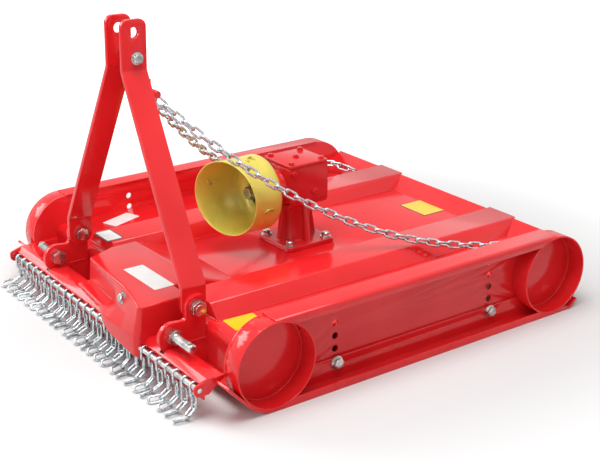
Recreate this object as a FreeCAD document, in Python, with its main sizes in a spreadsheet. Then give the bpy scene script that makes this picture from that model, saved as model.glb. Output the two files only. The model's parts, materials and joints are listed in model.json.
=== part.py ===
# Rotary mower for a small tractor's three-point linkage: a low welded deck on two skids,
# a mast with stay chains, a guarded gearbox and a chain curtain along the front.
# +X is the machine's left, -Y the tractor's side, +Z up.  Millimetres.
import FreeCAD, Part
import math
import os
import Sketcher

V = FreeCAD.Vector
doc = FreeCAD.newDocument("RotaryMower")
sheet = doc.addObject("Spreadsheet::Sheet", "Sizes")

# ---- driving dimensions -------------------------------------------------------------------
SIZES = {
    # side frames
    "web_face": 499, "web_plate": 6, "ring_width": 51,
    "ring_radius": 105, "ring_wall": 4, "ring_centre_y": 434,
    "skid_plate": 6, "nose_angle": 48, "nose_length": 72, "tail_angle": 40, "tail_length": 34,
    "skid_flange_top": 58, "skid_lip_top": 20, "lip_wall": 4,
    "rail_overlap": 10, "rail_wall": 4, "rail_lip": 21, "rail_bend": 12,
    "front_row_step": 196, "rear_row_step": 186, "hole_low": 44, "hole_top_margin": 40.4,
    "hole_count": 5, "hole_width": 17,
    # deck
    "deck_top": 138, "deck_wall": 5, "front_overhang": 36, "rear_step": 1, "deck_bend": 26,
    "front_skirt_foot": 30, "foot_flange": 37, "rear_skirt_foot": 96, "ramp_length": 58,
    "rib_inner": 193, "rib_outer": 292, "rib_height": 35.5, "rib_wall": 4, "rib_slant": 32,
    "rib_setback": 22, "channel_bend": 8,
    # hitch
    "plate_inner": 297, "plate_wall": 13, "pivot_ahead": 23, "pivot_z": 181, "pivot_lobe": 30,
    "link_ahead": 89, "link_z": 126.6, "link_lobe": 36, "plate_foot": 14,
    "link_pin": 22, "link_pin_tip": 398.4, "link_collar": 323.5, "linch_hole": 11,
    "pin_chamfer": 3, "pivot_pin": 20, "pin_play": 0.06,
    # mast, in its own upright axes from the pivot pins
    "mast_lean": 1.5, "leg_width": 65, "leg_wall": 12, "ear_inner": 31, "leg_gap": 0.3,
    "knee_low": 44, "knee_high": 499, "ear_top": 622, "top_hole_height": 591,
    "top_hole": 25.5, "tie_height": 484, "tie_wall": 10, "ear_bolt_height": 531,
    # nose cover
    "nose_gap": 67, "nose_mid": 85, "nose_far": 50, "nose_foot": 54, "nose_mid_foot": 68,
    "nose_waist": 104, "nose_lead": 14, "nose_far_ahead": 93, "nose_lean": 8,
    "nose_wall": 4, "nose_rise": 4.5, "nose_back": 70, "nose_ramp": 120,
    "canopy_far": -122, "canopy_ahead": 80,
    # chain curtain
    "rod_ahead": 130, "rod_z": 76, "rod_width": 13, "rod_inset": 7, "bracket_wall": 4,
    "bracket_top": 99, "lip_behind_rod": 7.5, "bracket_depth": 52.5, "bracket_lip": 52, "lip_slope": 13,
    "strand_count": 26, "strand_margin": 28, "link_wire": 5, "link_pitch": 29,
    "link_across": 18, "laid_reach": 55,
    # gearbox, heights over the deck
    "flange_side": 150, "flange_wall": 12, "flange_y": 5, "gear_half": 60,
    "gear_front": -55, "gear_back": 68, "gear_foot": 108, "gear_rise": 223,
    "fin_foot": 60, "fin_head": 44, "fin_wall": 14, "neck_width": 76,
    "cover_side": 124, "cover_wall": 10, "pto_rise": 162, "boss_radius": 46, "boss_front": -95,
    "guard_front": -217, "guard_radius": 100, "guard_wall": 3,
    "guard_turn": 17, "guard_bend": 26,
    "shaft_width": 34.9, "shaft_front": -150, "spline_depth": 3.2, "spline_width": 8.6,
    # rotor
    "neck_radius": 52, "neck_drop": 20, "hub_radius": 30, "bar_drop": 60, "bar_wall": 14,
    "bar_width": 90, "bar_end": 35, "tip_clearance": 10, "blade_wall": 8, "blade_width": 70,
    "blade_reach": 160, "run_gap": 0.3, "blade_bolt": 20,
    # stay chains
    "lug_height": 424, "lug_reach": 20, "lug_pin": 12, "stay_start_x": 15,
    "stay_inset": 79, "stay_from_rear": 140, "stay_rise": 25, "stay_sag": 118,
    "stay_width": 14,
}
for row, (alias, value) in enumerate(SIZES.items(), start=1):
    sheet.set("A%d" % row, alias)
    sheet.set("B%d" % row, str(value))
    sheet.setAlias("B%d" % row, alias)
row = len(SIZES)
# sizes that follow from the others
DERIVED = {
    "half_width": "=web_face + ring_width",
    "rail_inner": "=web_face - rail_overlap",
    "rod_half": "=web_face - rod_inset",
    "strand_span": "=2 * (rod_half - strand_margin)",
    "ring_centre_z": "=skid_plate + ring_radius",
    "rail_top": "=skid_plate + 2 * ring_radius + rail_wall",
    "end_reach": "=ring_centre_y + ring_radius",
    "hole_row_front": "=front_row_step - ring_centre_y",
    "hole_row_rear": "=ring_centre_y - rear_row_step",
    "hole_pitch": "=(skid_plate + 2 * ring_radius - hole_top_margin - hole_low)"
                  " / (hole_count - 1)",
    "deck_front": "=0 - ring_centre_y - front_overhang",
    "deck_rear": "=end_reach - rear_step",
    "rib_top": "=deck_top + rib_height",
    "rib_front": "=deck_front + rib_setback",
    "rib_side": "=rib_wall * sqrt(rib_slant ^ 2 + rib_height ^ 2) / rib_height",
    "pivot_y": "=deck_front - pivot_ahead",
    "link_y": "=deck_front - link_ahead",
    "nose_near": "=plate_inner - nose_gap",
    "nose_ahead": "=rod_ahead + nose_lead",
    "nose_front": "=deck_front - nose_ahead",
    "nose_top": "=rib_top + nose_rise",
    "rod_y": "=deck_front - rod_ahead",
    "bracket_front": "=rod_y + lip_behind_rod",
    "bracket_rear": "=bracket_front + bracket_depth",
    "front_reach": "=laid_reach - rod_y",
    "frame_shift": "=(front_reach - end_reach) / 2",
    "leg_outer": "=plate_inner - leg_gap",
    "leg_slope": "=atan((plate_inner - leg_gap - leg_wall - ear_inner) / (knee_high - knee_low))",
    "gear_low": "=deck_top + gear_foot",
    "gear_top": "=deck_top + gear_rise",
    "pto_z": "=deck_top + pto_rise",
    "neck_foot": "=deck_top - neck_drop",
    "bar_top": "=deck_top - bar_drop",
    "blade_pivot": "=min(web_face - web_plate; flange_y - deck_front - deck_wall)"
                   " - tip_clearance - blade_reach",
    "bar_half": "=blade_pivot + bar_end",
    "stay_end_x": "=web_face - stay_inset",
    "stay_end_y": "=deck_rear - stay_from_rear",
    "stay_end_z": "=deck_top + stay_rise",
}
for alias, formula in DERIVED.items():
    row += 1
    sheet.set("A%d" % row, alias)
    sheet.set("B%d" % row, formula)
    sheet.setAlias("B%d" % row, alias)
doc.recompute()
ALL = list(SIZES) + list(DERIVED)


def expand(text):
    """Write an expression over the sheet's aliases as FreeCAD wants it."""
    out = ""
    word = ""
    for letter in str(text) + " ":
        if letter.isalnum() or letter == "_":
            word += letter
            continue
        out += "Sizes." + word if word in ALL else word
        out += letter
        word = ""
    return out.strip()


def size(text):
    """Value of an expression over the sheet's aliases."""
    value = sheet.evalExpression(expand(text))
    return float(getattr(value, "Value", value))


def bind(obj, prop, text):
    obj.setExpression(prop, expand(text))


# ---- sketches -----------------------------------------------------------------------------
def add_circle(sk, x, y, radius):
    index = sk.addGeometry(Part.Circle(V(size(x), size(y), 0), V(0, 0, 1), size(radius)))
    for kind, text in (("DistanceX", x), ("DistanceY", y)):
        which = sk.addConstraint(Sketcher.Constraint(kind, -1, 1, index, 3, size(text)))
        bind(sk, "Constraints[%d]" % which, text)
    which = sk.addConstraint(Sketcher.Constraint("Radius", index, size(radius)))
    bind(sk, "Constraints[%d]" % which, radius)


def add_outline(sk, corners):
    """Closed outline of straight runs; a corner's third value rounds it."""
    points = [V(size(c[0]), size(c[1]), 0) for c in corners]
    count = len(points)
    cuts = []
    for i, corner in enumerate(corners):
        radius = size(corner[2]) if len(corner) > 2 else 0
        before = (points[i - 1] - points[i]).normalize()
        after = (points[(i + 1) % count] - points[i]).normalize()
        half = before.getAngle(after) / 2
        back = radius / math.tan(half) if radius else 0
        centre = points[i] + (before + after).normalize() * (radius / math.sin(half))
        cuts.append((points[i] + before * back, points[i] + after * back, centre, radius))
    lines = []
    for i in range(count):
        lines.append(sk.addGeometry(Part.LineSegment(cuts[i][1], cuts[(i + 1) % count][0])))
    for i, corner in enumerate(corners):
        first = lines[i - 1]
        second = lines[i]
        start, end, centre, radius = cuts[i]
        if radius:
            middle = centre + (points[i] - centre).normalize() * radius
            arc = sk.addGeometry(Part.Arc(start, middle, end))
            turn = (points[i] - points[i - 1]).cross(points[(i + 1) % count] - points[i]).z
            near, far = (1, 2) if turn > 0 else (2, 1)
            sk.addConstraint(Sketcher.Constraint("Tangent", first, 2, arc, near))
            sk.addConstraint(Sketcher.Constraint("Tangent", second, 1, arc, far))
            which = sk.addConstraint(Sketcher.Constraint("Radius", arc, radius))
            bind(sk, "Constraints[%d]" % which, corner[2])
            point = sk.addGeometry(Part.Point(points[i]), True)
            sk.addConstraint(Sketcher.Constraint("PointOnObject", point, 1, first))
            sk.addConstraint(Sketcher.Constraint("PointOnObject", point, 1, second))
            spot = (point, 1)
        else:
            sk.addConstraint(Sketcher.Constraint("Coincident", first, 2, second, 1))
            spot = (second, 1)
        for kind, text in (("DistanceX", corner[0]), ("DistanceY", corner[1])):
            which = sk.addConstraint(Sketcher.Constraint(kind, -1, 1, spot[0], spot[1], size(text)))
            bind(sk, "Constraints[%d]" % which, text)


def fill(sk, loops):
    for loop in loops:
        if loop[0] == "circle":
            add_circle(sk, *loop[1:])
        else:
            add_outline(sk, loop)


NORMAL = {"XY_Plane": 1, "XZ_Plane": -1, "YZ_Plane": 1}


def sketch(body, role, loops, offset="0"):
    sk = body.newObject("Sketcher::SketchObject", "Sketch")
    plane = [f for f in body.Origin.OriginFeatures if f.Role == role][0]
    sk.AttachmentSupport = [(plane, "")]
    sk.MapMode = "FlatFace"
    sign = "" if NORMAL[role] > 0 else "-1 * "
    bind(sk, ".AttachmentOffset.Base.z", sign + "(" + str(offset) + ")")
    fill(sk, loops)
    return sk


PIECES = {}


def new_body(label, x="0", y="0", z="0"):
    body = doc.addObject("PartDesign::Body", label.title().replace("_", ""))
    body.Label = label
    bind(body, ".Placement.Base.x", x)
    bind(body, ".Placement.Base.y", "frame_shift + " + str(y))
    bind(body, ".Placement.Base.z", z)
    PIECES[label] = body
    return body


def pad(body, role, loops, start, length, symmetric=False):
    """Pad from `start` along the plane's own axis (+X, +Y or +Z) by `length`."""
    feature = body.newObject("PartDesign::Pad", "Pad")
    feature.Profile = sketch(body, role, loops, start)
    bind(feature, "Length", length)
    if symmetric:
        feature.SideType = "Symmetric"
    elif NORMAL[role] < 0:
        feature.Reversed = True
    doc.recompute()
    return feature


def pocket(body, role, loops, start, length, symmetric=False):
    """Pocket from `start` along the plane's own axis (+X, +Y or +Z) by `length`."""
    before = body.Shape.Volume
    feature = body.newObject("PartDesign::Pocket", "Pocket")
    feature.Profile = sketch(body, role, loops, start)
    bind(feature, "Length", length)
    if symmetric:
        feature.SideType = "Symmetric"
    elif NORMAL[role] > 0:
        feature.Reversed = True
    doc.recompute()
    if not body.Shape.Volume < before - 1:
        raise RuntimeError("nothing cut from " + body.Label)
    return feature


def extrusion(name, role, loops, start, length):
    """A free-standing profile pushed along the plane's own axis, for use in booleans."""
    sk = doc.addObject("Sketcher::SketchObject", name + "Outline")
    turn = {"XY_Plane": FreeCAD.Rotation(), "XZ_Plane": FreeCAD.Rotation(V(1, 0, 0), 90),
            "YZ_Plane": FreeCAD.Rotation(V(1, 1, 1), 120)}[role]
    sk.Placement = FreeCAD.Placement(V(0, 0, 0), turn)
    axis = {"XY_Plane": "z", "XZ_Plane": "y", "YZ_Plane": "x"}[role]
    bind(sk, ".Placement.Base." + axis, start)
    fill(sk, loops)
    solid = doc.addObject("Part::Extrusion", name)
    solid.Base = sk
    solid.DirMode = "Normal"
    solid.Reversed = NORMAL[role] < 0
    bind(solid, "LengthFwd", length)
    solid.Solid = True
    return solid


AIM = {"x": FreeCAD.Rotation(V(0, 1, 0), 90), "y": FreeCAD.Rotation(V(1, 0, 0), -90),
       "z": FreeCAD.Rotation()}


def place(obj, axis, x, y, z):
    obj.Placement = FreeCAD.Placement(V(0, 0, 0), AIM[axis])
    bind(obj, ".Placement.Base.x", x)
    bind(obj, ".Placement.Base.y", y)
    bind(obj, ".Placement.Base.z", z)
    return obj


def cylinder(name, axis, x, y, z, radius, length):
    rod = doc.addObject("Part::Cylinder", name)
    bind(rod, "Radius", radius)
    bind(rod, "Height", length)
    return place(rod, axis, x, y, z)


def hexagon(name, axis, x, y, z, across, length):
    """Hexagonal bar; `across` is the width over its flats."""
    bar = doc.addObject("Part::Prism", name)
    bar.Polygon = 6
    bind(bar, "Circumradius", "(" + str(across) + ") / sqrt(3)")
    bind(bar, "Height", length)
    return place(bar, axis, x, y, z)


def box(name, x, y, z, wide, deep, high):
    block = doc.addObject("Part::Box", name)
    bind(block, "Length", wide)
    bind(block, "Width", deep)
    bind(block, "Height", high)
    return place(block, "z", x, y, z)


def group(label, parts, lean=False):
    """Fuse primitives into one sub-part and set it in the frame."""
    fused = doc.addObject("Part::MultiFuse", label.title().replace("_", ""))
    fused.Shapes = parts
    fused.Label = label
    settle(fused, lean)
    PIECES[label] = fused
    return fused


def single(label, obj, y):
    """One primitive as a sub-part of its own, set in the frame."""
    obj.Label = label
    bind(obj, ".Placement.Base.y", "frame_shift + " + y)
    PIECES[label] = obj
    return obj


def settle(obj, lean):
    if lean:
        obj.Placement = FreeCAD.Placement(V(0, 0, 0), FreeCAD.Rotation(V(1, 0, 0), -1))
        bind(obj, ".Placement.Rotation.Angle", "0 - mast_lean")
        bind(obj, ".Placement.Base.y", "frame_shift + pivot_y")
        bind(obj, ".Placement.Base.z", "pivot_z")
    else:
        bind(obj, ".Placement.Base.y", "frame_shift")


SIDES = (("left", 1), ("right", -1))


def along(sign, start, length):
    """Start of a run from |x| = start outwards, on the left (+1) or the right (-1)."""
    return str(start) if sign > 0 else "0 - (" + str(start) + ") - (" + str(length) + ")"


# ---- deck: one pressed sheet, turned up at the rear, its front skirt ending in a foot flange --
deck = new_body("deck_sheet")
pad(deck, "YZ_Plane", [[
    ("deck_front - foot_flange", "front_skirt_foot"),
    ("deck_front - foot_flange", "front_skirt_foot + deck_wall"),
    ("deck_front", "front_skirt_foot + deck_wall"),
    ("deck_front", "deck_top", "deck_bend"),
    ("deck_rear - ramp_length", "deck_top"),
    ("deck_rear - 8", "rib_top - rib_wall"),
    ("deck_rear", "rib_top - rib_wall", "7"), ("deck_rear", "rear_skirt_foot"),
    ("deck_rear - deck_wall", "rear_skirt_foot"),
    ("deck_rear - deck_wall", "rib_top - rib_wall - deck_wall"),
    ("deck_rear - 7", "rib_top - rib_wall - deck_wall"),
    ("deck_rear - ramp_length + 2", "deck_top - deck_wall"),
    ("deck_front + deck_wall", "deck_top - deck_wall", "deck_bend - deck_wall"),
    ("deck_front + deck_wall", "front_skirt_foot"),
]], "0", "2 * (web_face - web_plate)", symmetric=True)
pocket(deck, "XY_Plane", [("circle", "0", "flange_y", "neck_radius + 1")],
       "deck_top - 2 * deck_wall", "4 * deck_wall")
for side, sign in SIDES:
    slot = "plate_wall + 2 * leg_gap"
    pocket(deck, "XY_Plane", [[
        (along(sign, "plate_inner - leg_gap", slot), "deck_front - foot_flange - 1"),
        (along(sign, "plate_inner - leg_gap", slot) + " + " + slot,
         "deck_front - foot_flange - 1"),
        (along(sign, "plate_inner - leg_gap", slot) + " + " + slot, "deck_front"),
        (along(sign, "plate_inner - leg_gap", slot), "deck_front"),
    ]], "front_skirt_foot - 1", "deck_wall + 2")

# raised stiffening channels: slanted sides, closed in front, running out over the turn-up
for side, sign in SIDES:
    rib = new_body("deck_rib_" + side)
    crown_in = "rib_slant * rib_wall / rib_height"
    section = [("rib_inner - rib_slant", "deck_top"), ("rib_inner", "rib_top", "channel_bend"),
               ("rib_outer", "rib_top", "channel_bend"), ("rib_outer + rib_slant", "deck_top")]
    hollow = [("rib_inner - rib_slant + rib_side", "deck_top"),
              ("rib_inner + rib_side - " + crown_in, "rib_top - rib_wall", "channel_bend / 2"),
              ("rib_outer - rib_side + " + crown_in, "rib_top - rib_wall", "channel_bend / 2"),
              ("rib_outer + rib_slant - rib_side", "deck_top")]
    if sign < 0:
        section = [("0 - (" + c[0] + ")",) + tuple(c[1:]) for c in section]
        hollow = [("0 - (" + c[0] + ")",) + tuple(c[1:]) for c in hollow]
    pad(rib, "XZ_Plane", [section], "rib_front", "deck_rear - rib_front")
    pocket(rib, "XZ_Plane", [hollow], "rib_front + rib_wall", "deck_rear - rib_front")
    pocket(rib, "YZ_Plane", [[
        ("deck_rear - ramp_length", "deck_top"), ("deck_rear - 8", "rib_top - rib_wall"),
        ("deck_rear + 1", "rib_top - rib_wall"), ("deck_rear + 1", "deck_top"),
    ]], along(sign, "rib_inner - rib_slant - 1", "rib_outer - rib_inner + 2 * rib_slant + 2"),
        "rib_outer - rib_inner + 2 * rib_slant + 2")

# ---- side frames ---------------------------------------------------------------------------
for side, sign in SIDES:
    # web: the upright plate that closes the rings and carries the skid on two rows of holes
    web = new_body("side_web_" + side)
    pad(web, "YZ_Plane", [[
        ("0 - end_reach", "skid_plate", "ring_radius - 0.01"),
        ("end_reach", "skid_plate", "ring_radius - 0.01"),
        ("end_reach", "skid_plate + 2 * ring_radius", "ring_radius - 0.01"),
        ("0 - end_reach", "skid_plate + 2 * ring_radius", "ring_radius - 0.01"),
    ]], along(sign, "web_face - web_plate", "web_plate"), "web_plate")
    holes = pocket(web, "YZ_Plane", [
        ("circle", "hole_row_front", "hole_low", "hole_width / 2"),
        ("circle", "hole_row_rear", "hole_low", "hole_width / 2"),
    ], along(sign, "web_face - 2 * web_plate", "3 * web_plate"), "3 * web_plate")
    row = web.newObject("PartDesign::LinearPattern", "HoleRows")
    row.Originals = [holes]
    row.Direction = (holes.Profile[0], ["V_Axis"])
    bind(row, "Length", "hole_pitch * (hole_count - 1)")
    bind(row, "Occurrences", "hole_count")
    web.Tip = row

    # rail: strip along the ring tops, its outer edge folded down between the rings
    rail = new_body("rail_" + side)
    inner = "rail_inner"
    corners = [(inner, "rail_top - rail_wall"), (inner, "rail_top"),
               ("half_width", "rail_top", "rail_bend"), ("half_width", "rail_top - rail_lip"),
               ("half_width - rail_wall", "rail_top - rail_lip"),
               ("half_width - rail_wall", "rail_top - rail_wall", "rail_bend - rail_wall")]
    if sign < 0:
        corners = [("0 - (" + c[0] + ")",) + tuple(c[1:]) for c in corners]
    pad(rail, "XZ_Plane", [corners], "0 - ring_centre_y", "2 * ring_centre_y")
    pocket(rail, "YZ_Plane", [
        ("circle", "0 - ring_centre_y", "ring_centre_z", "ring_radius"),
        ("circle", "ring_centre_y", "ring_centre_z", "ring_radius"),
    ], along(sign, "web_face", "half_width - web_face + 1"), "half_width - web_face + 1")

    # corner rings
    for end, place_y in (("front", "0 - ring_centre_y"), ("rear", "ring_centre_y")):
        ring = new_body("corner_ring_" + end + "_" + side)
        pad(ring, "YZ_Plane", [
            ("circle", place_y, "ring_centre_z", "ring_radius"),
            ("circle", place_y, "ring_centre_z", "ring_radius - ring_wall"),
        ], along(sign, "web_face", "half_width - web_face"), "half_width - web_face")

    # skid: sole bent up around the front ring, flange on the web, lip along the outside
    skid = new_body("skid_" + side)
    front = "(0 - ring_centre_y - (ring_radius + skid_plate) * tan(nose_angle / 2))"
    tip_y = "(" + front + " - (nose_length + (ring_radius + skid_plate) * tan(nose_angle / 2))"
    tip_z = "((nose_length + (ring_radius + skid_plate) * tan(nose_angle / 2)) * sin(nose_angle)"
    tail = "(ring_centre_y + 62)"
    lift_y = "(" + tail + " + (tail_length) * cos(tail_angle))"
    lift_z = "(tail_length * sin(tail_angle))"
    front_in = "(0 - ring_centre_y - ring_radius * tan(nose_angle / 2))"
    tail_in = "(" + tail + " - skid_plate * tan(tail_angle / 2))"
    pad(skid, "YZ_Plane", [[
        (tip_y + " * cos(nose_angle))", tip_z + ")"),
        (front, "0", "ring_radius + skid_plate"),
        (tail, "0", "20"),
        (lift_y, lift_z),
        (lift_y + " - skid_plate * sin(tail_angle)", lift_z + " + skid_plate * cos(tail_angle)"),
        (tail_in, "skid_plate", "14"),
        (front_in, "skid_plate", "ring_radius"),
        (tip_y + " * cos(nose_angle)) + skid_plate * sin(nose_angle)",
         tip_z + ") + skid_plate * cos(nose_angle)"),
    ]], along(sign, "web_face", "half_width - web_face"), "half_width - web_face")
    reach = "(ring_centre_y - 2)"
    x0, x1, x2, x3 = "web_face", "web_face + skid_plate", "half_width - lip_wall", "half_width"
    channel = [(x0, "1"), (x0, "skid_flange_top"), (x1, "skid_flange_top"),
               (x1, "skid_plate"), (x2, "skid_plate"), (x2, "skid_lip_top"),
               (x3, "skid_lip_top"), (x3, "1")]
    if sign < 0:
        channel = [("0 - (" + c[0] + ")", c[1]) for c in channel]
    pad(skid, "XZ_Plane", [channel], "0 - " + reach, "2 * " + reach)
    pocket(skid, "YZ_Plane", [
        ("circle", "0 - ring_centre_y", "ring_centre_z", "ring_radius"),
        ("circle", "ring_centre_y", "ring_centre_z", "ring_radius"),
    ], along(sign, "web_face", "half_width - web_face"), "half_width - web_face")
    pocket(skid, "YZ_Plane", [
        ("circle", "hole_row_front", "hole_low", "hole_width / 2"),
        ("circle", "hole_row_rear", "hole_low", "hole_width / 2"),
    ], along(sign, "web_face", "2 * skid_plate"), "2 * skid_plate")

    # skid bolts: head outside the flange, nut inside the web
    bolts = []
    for name, y in (("Front", "hole_row_front"), ("Rear", "hole_row_rear")):
        stem = "SkidBolt" + side.title() + name
        shank = "skid_plate + web_plate"
        bolts.append(cylinder(stem + "Shank", "x", along(sign, "web_face - web_plate", shank),
                              y, "hole_low", "8", shank))
        bolts.append(hexagon(stem + "Head", "x", along(sign, "web_face + skid_plate", "13"),
                             y, "hole_low", "24", "13"))
        bolts.append(hexagon(stem + "Nut", "x", along(sign, "web_face - web_plate - 13", "13"),
                             y, "hole_low", "24", "13"))
    group("skid_bolts_" + side, bolts)

# ---- hitch: two upright plates with the link pins and the mast's pivots ----------------------
for side, sign in SIDES:
    plate = new_body("hitch_plate_" + side)
    pad(plate, "YZ_Plane", [[
        ("deck_front", "plate_foot", "6"),
        ("deck_front", "pivot_z + pivot_lobe", "14"),
        ("pivot_y - pivot_lobe", "pivot_z + pivot_lobe", "pivot_lobe - 1"),
        ("pivot_y - pivot_lobe", "pivot_z - pivot_lobe + 4", "8"),
        ("link_y - link_lobe", "link_z + link_lobe", "link_lobe - 1"),
        ("link_y - link_lobe", "link_z - link_lobe", "link_lobe - 1"),
        ("link_y + link_lobe - 4", "link_z - link_lobe - 12", "14"),
        ("link_y + link_lobe + 16", "plate_foot", "10"),
    ], ("circle", "link_y", "link_z", "link_pin / 2"),
        ("circle", "pivot_y", "pivot_z", "pivot_pin / 2")],
        along(sign, "plate_inner", "plate_wall"), "plate_wall")

    pin_x = "plate_inner - 16"
    pin_run = "(link_pin_tip - pin_chamfer - plate_inner + 16)"
    body = cylinder("LinkPin" + side.title(), "x", along(sign, pin_x, pin_run),
                    "link_y", "link_z", "link_pin / 2", pin_run)
    tip = doc.addObject("Part::Cone", "LinkTip" + side.title())
    bind(tip, "Radius1", "link_pin / 2" if sign > 0 else "link_pin / 2 - pin_chamfer")
    bind(tip, "Radius2", "link_pin / 2 - pin_chamfer" if sign > 0 else "link_pin / 2")
    bind(tip, "Height", "pin_chamfer")
    place(tip, "x", along(sign, "link_pin_tip - pin_chamfer", "pin_chamfer"), "link_y", "link_z")
    collar = "link_collar - plate_inner - plate_wall"
    ring = hexagon("LinkCollar" + side.title(), "x",
                   along(sign, "plate_inner + plate_wall", collar), "link_y", "link_z", "34",
                   collar)
    nut = hexagon("LinkNut" + side.title(), "x", along(sign, "plate_inner - 16", "16"),
                  "link_y", "link_z", "34", "16")
    whole = doc.addObject("Part::MultiFuse", "LinkPinBlank" + side.title())
    whole.Shapes = [body, tip, ring, nut]
    drill = cylinder("LinchHole" + side.title(), "z",
                     "link_pin_tip - 12" if sign > 0 else "12 - link_pin_tip", "link_y",
                     "link_z - link_pin", "linch_hole / 2", "2 * link_pin")
    pin = doc.addObject("Part::Cut", "LinkPinCut" + side.title())
    pin.Base = whole
    pin.Tool = drill
    pin.Label = "link_pin_" + side
    settle(pin, False)
    PIECES[pin.Label] = pin

# ---- mast: two bent legs that meet in a clevis over the linkage ------------------------------
for side, sign in SIDES:
    foot_in = "(leg_outer - leg_wall)"
    set_off = "leg_wall * tan(leg_slope / 2)"
    bend = [("ear_inner", "ear_top + 5"), ("ear_inner", "knee_high", "10"),
            (foot_in, "knee_low", "10"), (foot_in, "0 - pivot_lobe - 5"),
            ("leg_outer", "0 - pivot_lobe - 5"),
            ("leg_outer", "knee_low + " + set_off, "10 + leg_wall"),
            ("ear_inner + leg_wall", "knee_high + " + set_off, "10 + leg_wall"),
            ("ear_inner + leg_wall", "ear_top + 5")]
    bend[1] = ("ear_inner", "knee_high", "10 + leg_wall")
    bend[6] = ("ear_inner + leg_wall", "knee_high + " + set_off, "10")
    if sign < 0:
        bend = [("0 - (" + c[0] + ")",) + tuple(c[1:]) for c in bend]
    stem = "MastLeg" + side.title()
    flat = extrusion(stem + "Bend", "XZ_Plane", [bend], "0 - leg_width", "2 * leg_width")
    outline = extrusion(stem + "Face", "YZ_Plane", [[
        ("0 - leg_width / 2", "0 - pivot_lobe", "leg_width / 2 - 3"),
        ("leg_width / 2", "0 - pivot_lobe", "leg_width / 2 - 3"),
        ("leg_width / 2", "ear_top", "18"),
        ("0 - leg_width / 2", "ear_top", "18"),
    ], ("circle", "0", "0", "pivot_pin / 2 + pin_play"),
        ("circle", "0", "top_hole_height", "top_hole / 2"),
        ("circle", "5", "ear_bolt_height", "8")],
        along(sign, "ear_inner - 5", "leg_outer - ear_inner + 10"),
        "leg_outer - ear_inner + 10")
    leg = doc.addObject("Part::Common", stem)
    leg.Base = flat
    leg.Tool = outline
    leg.Label = "mast_leg_" + side
    settle(leg, True)
    PIECES[leg.Label] = leg

    pivot = [cylinder(stem + "Pivot", "x",
                      along(sign, "plate_inner - leg_gap - leg_wall - 12",
                            "plate_wall + leg_gap + leg_wall + 12 + 14"),
                      "pivot_y", "pivot_z", "pivot_pin / 2",
                      "plate_wall + leg_gap + leg_wall + 12 + 14"),
             hexagon(stem + "PivotHead", "x", along(sign, "plate_inner + plate_wall", "13"),
                     "pivot_y", "pivot_z", "34", "13"),
             hexagon(stem + "PivotNut", "x",
                     along(sign, "plate_inner - 2 * leg_gap - leg_wall - 12", "12"),
                     "pivot_y", "pivot_z", "30", "12")]
    group("mast_pivot_bolt_" + side, pivot)

group("mast_tie_plate", [box("MastTie", "0 - ear_inner", "leg_width / 2 - tie_wall",
                             "tie_height - 22", "2 * ear_inner", "tie_wall", "60"),
                         box("MastLug", "0 - 5", "leg_width / 2 - tie_wall",
                             "lug_height - 12", "10", "tie_wall + lug_reach + 10", "56"),
                         cylinder("MastLugPin", "x", "0 - 24", "leg_width / 2 + lug_reach",
                                  "lug_height", "lug_pin / 2", "48")], lean=True)
run = "2 * ear_inner + 2 * leg_wall"
group("mast_ear_bolt", [
    cylinder("EarBoltShank", "x", "0 - ear_inner - leg_wall", "5", "ear_bolt_height", "8", run),
    hexagon("EarBoltHead", "x", "ear_inner + leg_wall", "5", "ear_bolt_height", "24", "10"),
    hexagon("EarBoltNut", "x", "0 - ear_inner - leg_wall - 13", "5", "ear_bolt_height", "24",
            "13")], lean=True)

# ---- nose cover between the hitch plates ------------------------------------------------------
def lofted(body, kind, sections):
    """Ruled loft between outlines on planes across the machine: (x, outline) pairs."""
    feature = body.newObject("PartDesign::" + kind + "Loft", kind + "Loft")
    feature.Profile = sketch(body, "YZ_Plane", [sections[0][1]], sections[0][0])
    feature.Sections = [sketch(body, "YZ_Plane", [s[1]], s[0]) for s in sections[1:]]
    feature.Ruled = True
    doc.recompute()


nose = new_body("nose_cover")
HOOD = (("nose_near", "nose_near - nose_wall", "nose_foot", "nose_ahead - nose_lean"),
        ("nose_mid", "nose_mid", "nose_mid_foot", "nose_far_ahead"),
        ("nose_far", "nose_far + nose_wall", "nose_waist - 6", "nose_far_ahead"))
lofted(nose, "Additive", [(x, [
    ("nose_front", foot), ("nose_front", "nose_waist"),
    ("deck_front - (" + ahead + ")", "nose_top"), ("deck_front", "nose_top"),
    ("deck_front", foot),
]) for x, inner, foot, ahead in HOOD])
lofted(nose, "Subtractive", [(inner, [
    ("nose_front + nose_wall", "0"), ("nose_front + nose_wall", "nose_waist"),
    ("deck_front - (" + ahead + ") + nose_wall", "nose_top - nose_wall"),
    ("deck_front - nose_wall", "nose_top - nose_wall"), ("deck_front - nose_wall", "0"),
]) for x, inner, foot, ahead in HOOD])
pad(nose, "XY_Plane", [[
    ("nose_far + 1", "deck_front - nose_far_ahead"), ("nose_far + 1", "deck_front"),
    ("nose_wall - rib_inner + rib_slant", "deck_front"),
    ("canopy_far", "deck_front - canopy_ahead", "12"),
]], "nose_top - nose_wall", "nose_wall")
side_run = "rib_inner - rib_slant - nose_wall"
back_end = "deck_front + nose_back"
pad(nose, "YZ_Plane", [[
    ("deck_front - 1", "deck_top"), ("deck_front - 1", "nose_top"), (back_end, "nose_top"),
    (back_end + " + nose_ramp", "deck_top + 1"), (back_end + " + nose_ramp", "deck_top"),
]], "0", "2 * (" + side_run + ")", symmetric=True)
pocket(nose, "YZ_Plane", [[
    ("deck_front + nose_wall", "deck_top"), ("deck_front + nose_wall", "nose_top - nose_wall"),
    (back_end + " - 2", "nose_top - nose_wall"), (back_end + " + nose_ramp - 16", "deck_top"),
]], "0", "2 * (" + side_run + " - nose_wall)", symmetric=True)
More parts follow.
